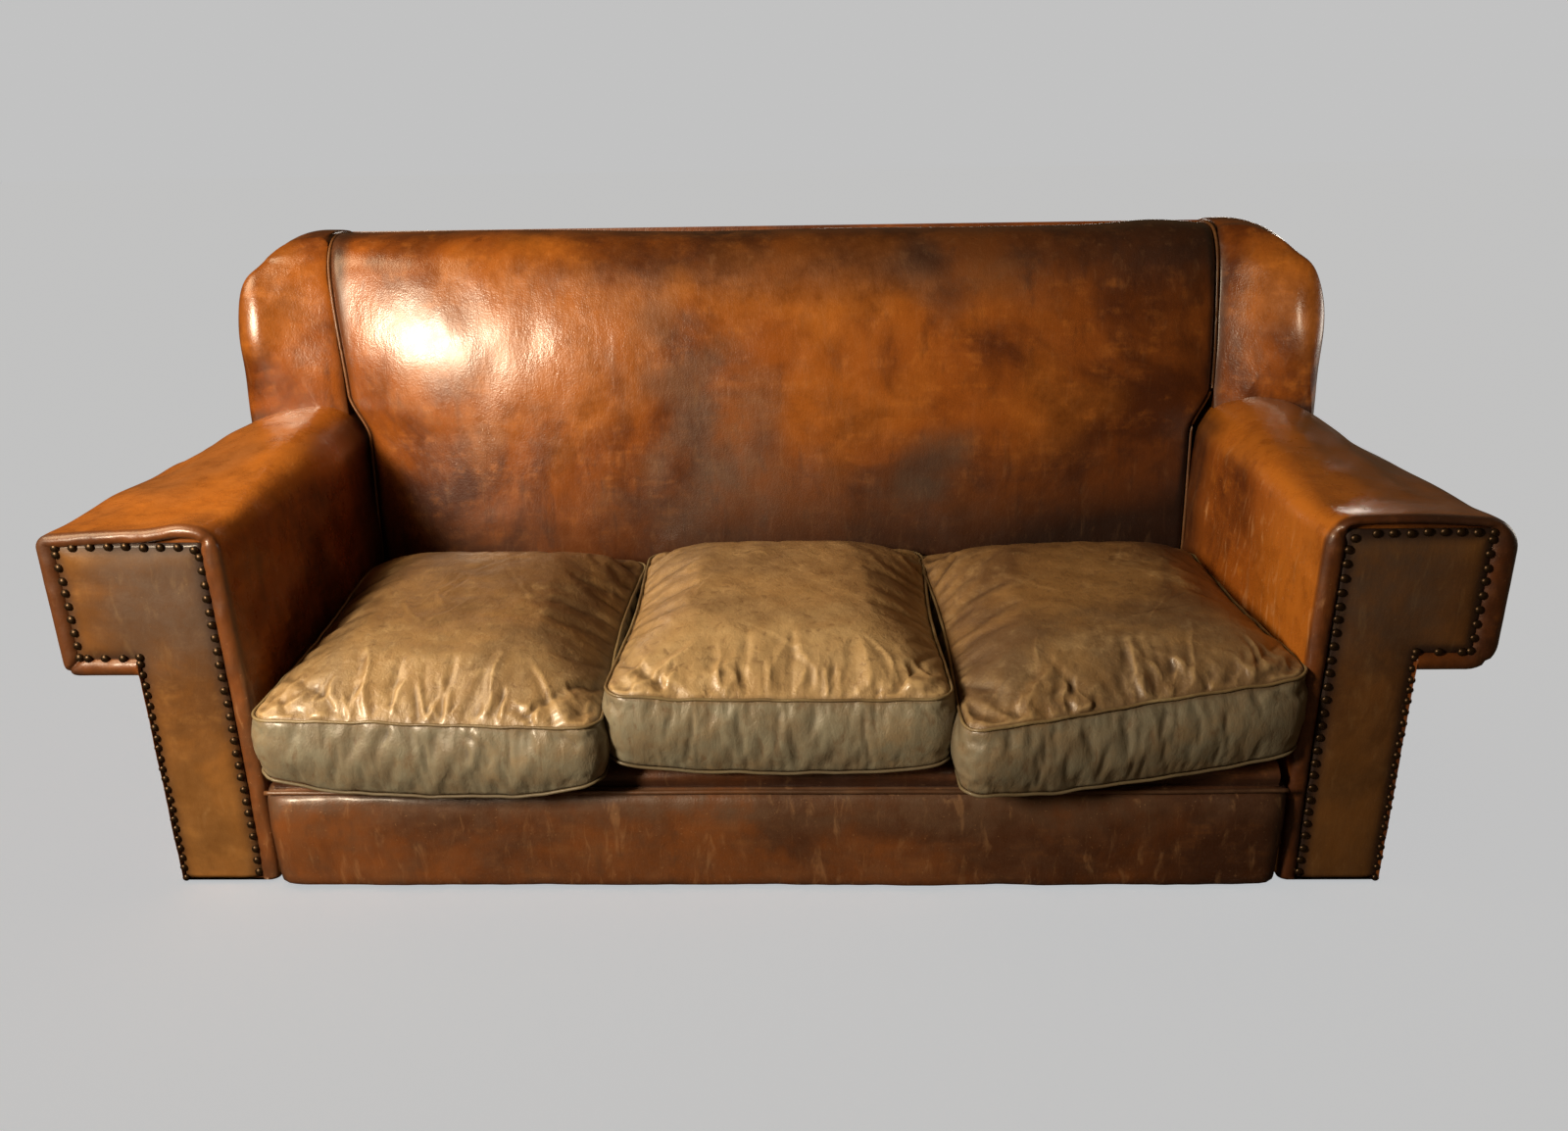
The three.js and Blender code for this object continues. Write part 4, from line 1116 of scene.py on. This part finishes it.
outside_back = frame["nodes"]["outside_back_cover"]
outside_tones = ("#85481a", "#54290e", "#9c5c22", "#5c4438", "#b89068")
outside_leather = leather("outside_back_cowhide", outside_tones, 0.42, 0.15)
outside_back.data.materials.clear()
outside_back.data.materials.append(outside_leather)

# ---- seat cushions ----
# Three loose feather cushions in softer, paler hide that has lost its dye: a crowned top panel, a boxing strip
# and a bottom panel, with piped seams above and below the boxing. They have slumped forward over the rail, and
# the stretched leather gathers in sharp creases along the seams, most of all at the front.

cushion_tones = ("#94744a", "#684f35", "#c6a878", "#827e6c", "#e0cba2")
cushion_leather = leather("worn_cushion_cowhide", cushion_tones, 0.34, 0.3, 0.12, 5.0, 0.55)
cushion_piping_tones = ("#91805c", "#6a573a", "#b0a078", "#7c7560", "#cfc09a")
cushion_piping = leather("cushion_piping_cowhide", cushion_piping_tones, 0.4, 0.2, 0.05)
CUSHION_DEPTH = 0.592
CORNER_ROUND = 0.034
PULL_IN = 0.010  # how far the feathers draw in the middle of a side
DECK = deck_high.z
COLUMNS, ROWS, STRIPS = 92, 62, 15  # points across and along a panel, and bands down the boxing
PANEL = COLUMNS * ROWS


def outwards(loop):
    """The level direction out of a closed line, at each of its points."""
    along = np.roll(loop, -1, 0) - np.roll(loop, 1, 0)
    out = np.stack([along[:, 1], -along[:, 0], 0 * along[:, 0]], 1)
    return out / np.linalg.norm(out, axis=1)[:, None]


def cushion_form(cushion):
    """Points and faces of a closed cushion about its own centre, with the numbers of its seam points."""
    v = np.concatenate([[0], np.cumsum(np.linspace(0.55, 1.35, ROWS - 1))])
    uu, vv = np.meshgrid(np.linspace(-1, 1, COLUMNS), 2 * v / v[-1] - 1, indexing="ij")
    half_x, half_y, r = cushion["width"] / 2, CUSHION_DEPTH / 2, CORNER_ROUND

    def flat():
        x, y = uu * half_x, vv * half_y
        dx, dy = np.maximum(np.abs(x) - half_x + r, 0), np.maximum(np.abs(y) - half_y + r, 0)
        squeeze = np.where((dx > 0) & (dy > 0), np.maximum(dx, dy) / (np.hypot(dx, dy) + 1e-9), 1.0)
        x = np.sign(x) * (np.minimum(np.abs(x), half_x - r) + dx * squeeze)
        y = np.sign(y) * (np.minimum(np.abs(y), half_y - r) + dy * squeeze)
        x -= PULL_IN * uu * np.cos(vv * math.pi / 2) ** 2 * np.abs(uu) ** 3
        y -= 0.5 * PULL_IN * vv * np.cos(uu * math.pi / 2) ** 2 * np.abs(vv) ** 3
        return cushion["plan"](x, y)

    def seam(front, rear):
        stations = np.linspace(-1, 1, len(front))
        soft = 0.5 * (np.interp(uu, stations, front) + np.interp(np.clip(uu * 0.9, -1, 1), stations, front))
        return rear + (soft - rear) * smooth((1 - vv) / 2) ** 1.15

    x, y = flat()
    edge = np.maximum(np.abs(uu), np.abs(vv))
    dome = (1 - edge**3.4) ** 0.75 * (1 - 0.3 * np.abs(uu * vv) ** 1.5)
    top = np.stack([x, y, seam(cushion["top_seam"], cushion["back_seam"]) + cushion["crown"] * dome], -1)
    low_z = seam(cushion["low_seam"], DECK + 0.002)
    bottom = np.stack([x, y, np.where(edge > 0.999, low_z, np.minimum(low_z, DECK + 0.03))], -1)
    ring = (
        [(i, 0) for i in range(COLUMNS - 1)]
        + [(COLUMNS - 1, j) for j in range(ROWS - 1)]
        + [(i, ROWS - 1) for i in range(COLUMNS - 1, 0, -1)]
        + [(0, j) for j in range(ROWS - 1, 0, -1)]
    )
    ring = np.array([i * ROWS + j for i, j in ring])
    high, low = top.reshape(-1, 3)[ring], bottom.reshape(-1, 3)[ring]
    out = outwards(high)
    bands = []
    for k in range(1, STRIPS):
        f = k / STRIPS
        bands.append(high + (low - high) * f + out * 0.007 * math.sin(math.pi * f) ** 0.7)
    points = np.vstack([top.reshape(-1, 3), *bands, bottom.reshape(-1, 3)])
    around = len(ring)
    start_bottom = PANEL + (STRIPS - 1) * around
    faces = []
    for i in range(COLUMNS - 1):
        for j in range(ROWS - 1):
            quad = (i * ROWS + j, (i + 1) * ROWS + j, (i + 1) * ROWS + j + 1, i * ROWS + j + 1)
            faces.append(quad)
            faces.append(tuple(start_bottom + q for q in quad[::-1]))
    bands = [PANEL + k * around + np.arange(around) for k in range(STRIPS - 1)]
    loops = [ring, *bands, start_bottom + ring]
    for above_loop, below_loop in zip(loops, loops[1:]):
        for c in range(around):
            d = (c + 1) % around
            faces.append((above_loop[c], below_loop[c], below_loop[d], above_loop[d]))
    return points, faces, loops, start_bottom


SETTLING_FRAMES = 24
MOST_SHIFT = 0.026  # how far the leather may buckle from its drawn shape
CORD_RADIUS = 0.0026
CORD_OUT = 0.0022  # how far the piping stands out from its seam


def settle(shapes):
    """Lets the slack leather of the cushions buckle under the push of the feathers, with the seams held."""
    scene = bpy.context.scene
    scene.frame_start, scene.frame_end = 1, SETTLING_FRAMES
    for piece, held, slack in shapes:
        pins = piece.vertex_groups.new(name="pins")
        for index, weight in held.items():
            pins.add([int(index)], weight, "REPLACE")
        loose = piece.vertex_groups.new(name="slack")
        for index, weight in enumerate(slack):
            loose.add([index], float(weight), "REPLACE")
        cloth = piece.modifiers.new("leather", "CLOTH")
        values = cloth.settings
        values.quality = 6
        values.mass = 0.3
        values.air_damping = 1.0
        values.tension_stiffness = values.compression_stiffness = 15
        values.shear_stiffness = 5
        values.bending_stiffness = 0.1
        values.tension_damping = values.compression_damping = values.shear_damping = 3
        values.bending_damping = 0.5
        values.vertex_group_mass = "pins"
        values.vertex_group_shrink = "slack"
        values.shrink_min = -0.04
        values.shrink_max = -0.13
        values.use_pressure = True
        values.uniform_pressure_force = 4.0
        values.effector_weights.gravity = 0
        cloth.collision_settings.use_collision = False
        cloth.point_cache.frame_start, cloth.point_cache.frame_end = 1, SETTLING_FRAMES
    for number in range(1, SETTLING_FRAMES + 1):
        scene.frame_set(number)
    depsgraph = bpy.context.evaluated_depsgraph_get()
    settled = []
    for piece, _, _ in shapes:
        data = piece.evaluated_get(depsgraph).to_mesh()
        flat_list = np.empty(len(data.vertices) * 3)
        data.vertices.foreach_get("co", flat_list)
        settled.append(flat_list.reshape(-1, 3).copy())
        piece.evaluated_get(depsgraph).to_mesh_clear()
    scene.frame_set(1)
    return settled


def turned(degrees, left_reach, right_reach):
    """A plan that swings the cushion round and lets each front corner reach forward."""
    angle = math.radians(degrees)

    def plan(x, y):
        ahead = smooth((0.05 - y) / 0.35)
        share = np.clip(x / 0.53 + 0.5, 0, 1)
        y = y - ahead * (left_reach * (1 - share) + right_reach * share)
        return x * math.cos(angle) - y * math.sin(angle), x * math.sin(angle) + y * math.cos(angle)

    return plan


def creased(along, across, marks):
    """Height that a set of sharp leather folds adds at points given along a seam and away from it.

    Each mark is where its foot is, along and across, its lean in degrees, its length, half width, height and
    bend. One flank of a fold is steeper than the other, and a shallow valley runs beside the steep one.
    """
    total = np.zeros(len(along))
    place = np.stack([along, across, 0 * along], 1)
    along = along + 0.005 * ripple(place, 0.09, 501) + 0.0015 * ripple(place, 0.035, 502)
    for foot, start, lean, length, width, height, bend in marks:
        angle = math.radians(lean)
        right_of, up_of = along - foot, across - start
        t = (right_of * math.sin(angle) + up_of * math.cos(angle)) / length
        d = right_of * math.cos(angle) - up_of * math.sin(angle) - bend * t * t
        d = d + 0.12 * width * np.sin(t * 9 + foot * 300)
        narrow = width * (0.55 + 0.45 * np.clip(1 - t, 0, 1))
        envelope = smooth(t / 0.22 + 0.25) * smooth((1 - t) / 0.55) * (t > -0.1)
        ridge = np.exp(-(np.abs(np.where(d < 0, d / (0.5 * narrow), d / (1.2 * narrow))) ** 1.12))
        valley = 0.55 * np.exp(-(((d + 1.5 * narrow) / (0.9 * narrow)) ** 2))
        total += height * envelope * (ridge - valley)
    return total


def fold_marks(draw, count, half, lean, length, height, start=0.0):
    """A seeded spread of folds along a seam, leaning outwards towards its ends."""
    marks = []
    for i in range(count):
        foot = half * (-1 + 2 * (i + draw.uniform(0.1, 0.9)) / count)
        foot += draw.normal(0, 0.012)
        tilt = -lean * foot / half + draw.normal(0, 20)
        long = draw.uniform(*length)
        tall = draw.uniform(*height)
        side = draw.choice((-1, 1))
        wide = draw.uniform(0.006, 0.016)
        near = start + draw.uniform(0, 0.012)
        marks.append((foot, near, tilt, long, wide, tall, side * draw.uniform(0, 0.012)))
        if draw.uniform() < 0.35:
            branch = tilt - side * draw.uniform(25, 50)
            marks.append((foot, start, branch, 0.7 * long, 0.8 * wide, 0.8 * tall, 0.0))
    return marks


def facing_ways(piece):
    """The piece's normals as an array."""
    flat = np.empty(len(piece.data.vertices) * 3)
    piece.data.vertices.foreach_get("normal", flat)
    return flat.reshape(-1, 3)


def hollows(piece, times):
    """How deep each point lies below its neighbours, in metres: above 0 in folds and below 0 on ridges."""
    ends = np.empty(len(piece.data.edges) * 2, int)
    piece.data.edges.foreach_get("vertices", ends)
    ends = ends.reshape(-1, 2)
    p = places(piece)
    around = p.copy()
    count = np.bincount(ends.reshape(-1), minlength=len(p))[:, None]
    for _ in range(times):
        total = np.zeros_like(around)
        np.add.at(total, ends[:, 0], around[ends[:, 1]])
        np.add.at(total, ends[:, 1], around[ends[:, 0]])
        around = total / count
    return ((around - p) * facing_ways(piece)).sum(1)


def mark(piece, key, value):
    """Stores a number for each point under a name. A subdivision spreads it over the finer points."""
    piece.data.attributes.new(key, "FLOAT", "POINT").data.foreach_set("value", value)


def marked(piece, key):
    """Reads such numbers back."""
    value = np.empty(len(piece.data.vertices))
    piece.data.attributes[key].data.foreach_get("value", value)
    return value


# Heights of the seams are given along the front, from left to right. The last five are shares from 0 to 1:
# darkening by dirt and painted shade, how far the front is free of it, rubbing, rubbing on the top alone, and
# scuffs at the front.
CUSHIONS = [
    {
        "side": "left",
        "centre": (-0.520, ARM_FRONT + 0.216, 0),
        "width": 0.528,
        "top_seam": (0.337, 0.334, 0.327, 0.323, 0.323),
        "low_seam": (0.247, 0.214, 0.206, 0.207, 0.232),
        "crown": 0.055,
        "back_seam": 0.372,
        "plan": turned(0, 0.0, 0.002),
        "dirt": 0.30,
        "clean_front": 0.8,
        "rub": 0.3,
        "top_rub": 0.0,
        "scuff": 0.45,
    },
    {
        "side": "centre",
        "centre": (0.015, ARM_FRONT + 0.247, 0),
        "width": 0.526,
        "top_seam": (0.364, 0.354, 0.350, 0.350, 0.355),
        "low_seam": (0.252, 0.234, 0.228, 0.230, 0.246),
        "crown": 0.052,
        "back_seam": 0.378,
        "plan": turned(0, 0.004, 0.0),
        "dirt": 0.02,
        "clean_front": 0.8,
        "rub": 0.3,
        "top_rub": 0.3,
        "scuff": 0.3,
    },
    {
        "side": "right",
        "centre": (0.545, ARM_FRONT + 0.232, 0),
        "width": 0.526,
        "top_seam": (0.324, 0.336, 0.349, 0.363, 0.380),
        "low_seam": (0.222, 0.215, 0.220, 0.232, 0.254),
        "crown": 0.048,
        "back_seam": 0.378,
        "plan": turned(1.8, 0.036, -0.030),
        "dirt": 0.2,
        "clean_front": 0.0,
        "rub": 0.05,
        "top_rub": 0.0,
        "scuff": 0.2,
    },
]

for number, cushion in enumerate(CUSHIONS):
    points, faces, loops, start_bottom = cushion_form(cushion)
    held = {int(i): 1.0 for i in np.concatenate([loops[0], loops[-1], np.arange(start_bottom, len(points))])}
    points[:, 2] += 0.0010 * ripple(points, 0.06, 200 + number)
    near_front = smooth((0.17 - (points[:, 1] - points[:, 1].min())) / 0.15)
    near_side = smooth((0.07 - (cushion["width"] / 2 - np.abs(points[:, 0]))) / 0.06)
    slack = np.clip(0.15 + 0.85 * near_front + 0.4 * near_side, 0, 1)
    slack[PANEL:start_bottom] = 0.12
    piece = plain_mesh(f"{cushion['side']}_cushion_leather", points, faces)
    cushion.update(piece=piece, held=held, slack=slack, loops=loops, points=points)

settled = settle([(cushion["piece"], cushion["held"], cushion["slack"]) for cushion in CUSHIONS])


def crease(cushion, number):
    """Adds the sharp folds along the seams, and returns how deep each point then lies."""
    piece, loops = cushion["piece"], cushion["loops"]
    front_seam = cushion["points"][loops[0][:COLUMNS]]
    p, normals = places(piece), facing_ways(piece)
    local = p - cushion["centre"]
    off_seam = 1 - marked(piece, "seam")
    boxing = marked(piece, "boxing")
    draw = np.random.default_rng(400 + number)
    half = cushion["width"] / 2

    def folds(away, count, lean, length, height):
        return creased(local[:, 0], away, fold_marks(draw, count, half - 0.02, lean, length, height))

    behind = local[:, 1] - np.interp(local[:, 0], front_seam[:, 0], front_seam[:, 1])
    top_folds = folds(behind, 11, 38, (0.05, 0.15), (0.0018, 0.0046))
    top_folds += folds(behind, 17, 30, (0.02, 0.07), (0.0010, 0.0028))
    long_ones = []
    for _ in range(9):
        foot, start = draw.uniform(-half, half), draw.uniform(0.06, 0.4)
        lean, length = draw.uniform(-80, 80), draw.uniform(0.08, 0.22)
        long_ones.append((foot, start, lean, length, 0.005, 0.0011, 0.01))
    top_folds += creased(local[:, 0], behind, long_ones)
    down = np.interp(local[:, 0], front_seam[:, 0], front_seam[:, 2]) - local[:, 2]
    box_folds = folds(down, 10, -16, (0.03, 0.08), (0.0004, 0.0018))
    upward = smooth((normals[:, 2] - 0.2) / 0.3) * ((1 - boxing) * off_seam)
    forward = boxing * off_seam * smooth((-normals[:, 1] - 0.4) / 0.3)
    p = p + normals * (upward * top_folds + forward * box_folds)[:, None]
    piece.data.vertices.foreach_set("co", p.reshape(-1))
    return hollows(piece, 3) * off_seam


for number, cushion in enumerate(CUSHIONS):
    side, piece, points, loops = (cushion[key] for key in ("side", "piece", "points", "loops"))
    shift = settled[number] - points
    shift *= np.minimum(1, MOST_SHIFT / (np.linalg.norm(shift, axis=1) + 1e-9))[:, None]
    piece.modifiers.clear()
    piece.vertex_groups.clear()
    piece.data.vertices.foreach_set("co", (points + shift + cushion["centre"]).reshape(-1))
    mark(piece, "boxing", np.where(np.arange(len(points)) < PANEL, 0.0, 1.0))
    mark(piece, "seam", np.isin(np.arange(len(points)), (loops[0], loops[-1])).astype(float))
    subdivided(piece, 1)
    front = smooth((-0.04 - (places(piece) - cushion["centre"])[:, 1]) / 0.2)
    hollow = crease(cushion, number)
    seam, boxing = marked(piece, "seam"), marked(piece, "boxing")
    on_top = 1 - boxing
    paint(
        piece,
        grey=np.clip(0.95 * boxing + 0.2 * front, 0, 1),
        dirt=0.25 * seam
        # painted shade in the folds, from how deep each point lies
        + 0.5 * smooth(hollow * 900 - 0.1)
        + cushion["dirt"] * (1 - cushion["clean_front"] * front),
        # a painted highlight on the ridges of the folds, on top of each cushion's rubbing
        rub=(0.55 * smooth(-hollow * 900 - 0.1) + cushion["rub"]) * (0.25 + 0.75 * front) * on_top
        + cushion["top_rub"] * (on_top * (1 - seam)),
        scuff=cushion["scuff"] * front * on_top,
    )
    dress(piece, cushion_leather, "leather_cushion", f"{side}_cushion_cover", f"{side}_cushion_core")
    cords = (("top", loops[0], 0.001, 0.1, 0.1), ("bottom", loops[-1], -0.001, 0.35, 0.7))
    for which, loop, lift, dirt, grey in cords:
        seam_line = points[loop] + cushion["centre"]
        route = seam_line + outwards(seam_line) * CORD_OUT + (0, 0, lift)
        cord = tube(f"{side}_cushion_{which}_piping", route, CORD_RADIUS, closed=True)
        paint(cord, dirt=dirt, grey=grey)
        dress(cord, cushion_piping, "leather_cushion")

# ---- finish ----
# The lamps light only the sofa, so that the paper stays even in tone, and the strip lights only the right wing.

for made in bpy.data.objects:
    if made.type == "MESH" and made is not studio_floor:
        studio.objects.link(made)
    if made.name.startswith("right_wing_leather"):
        wing_studio.objects.link(made)
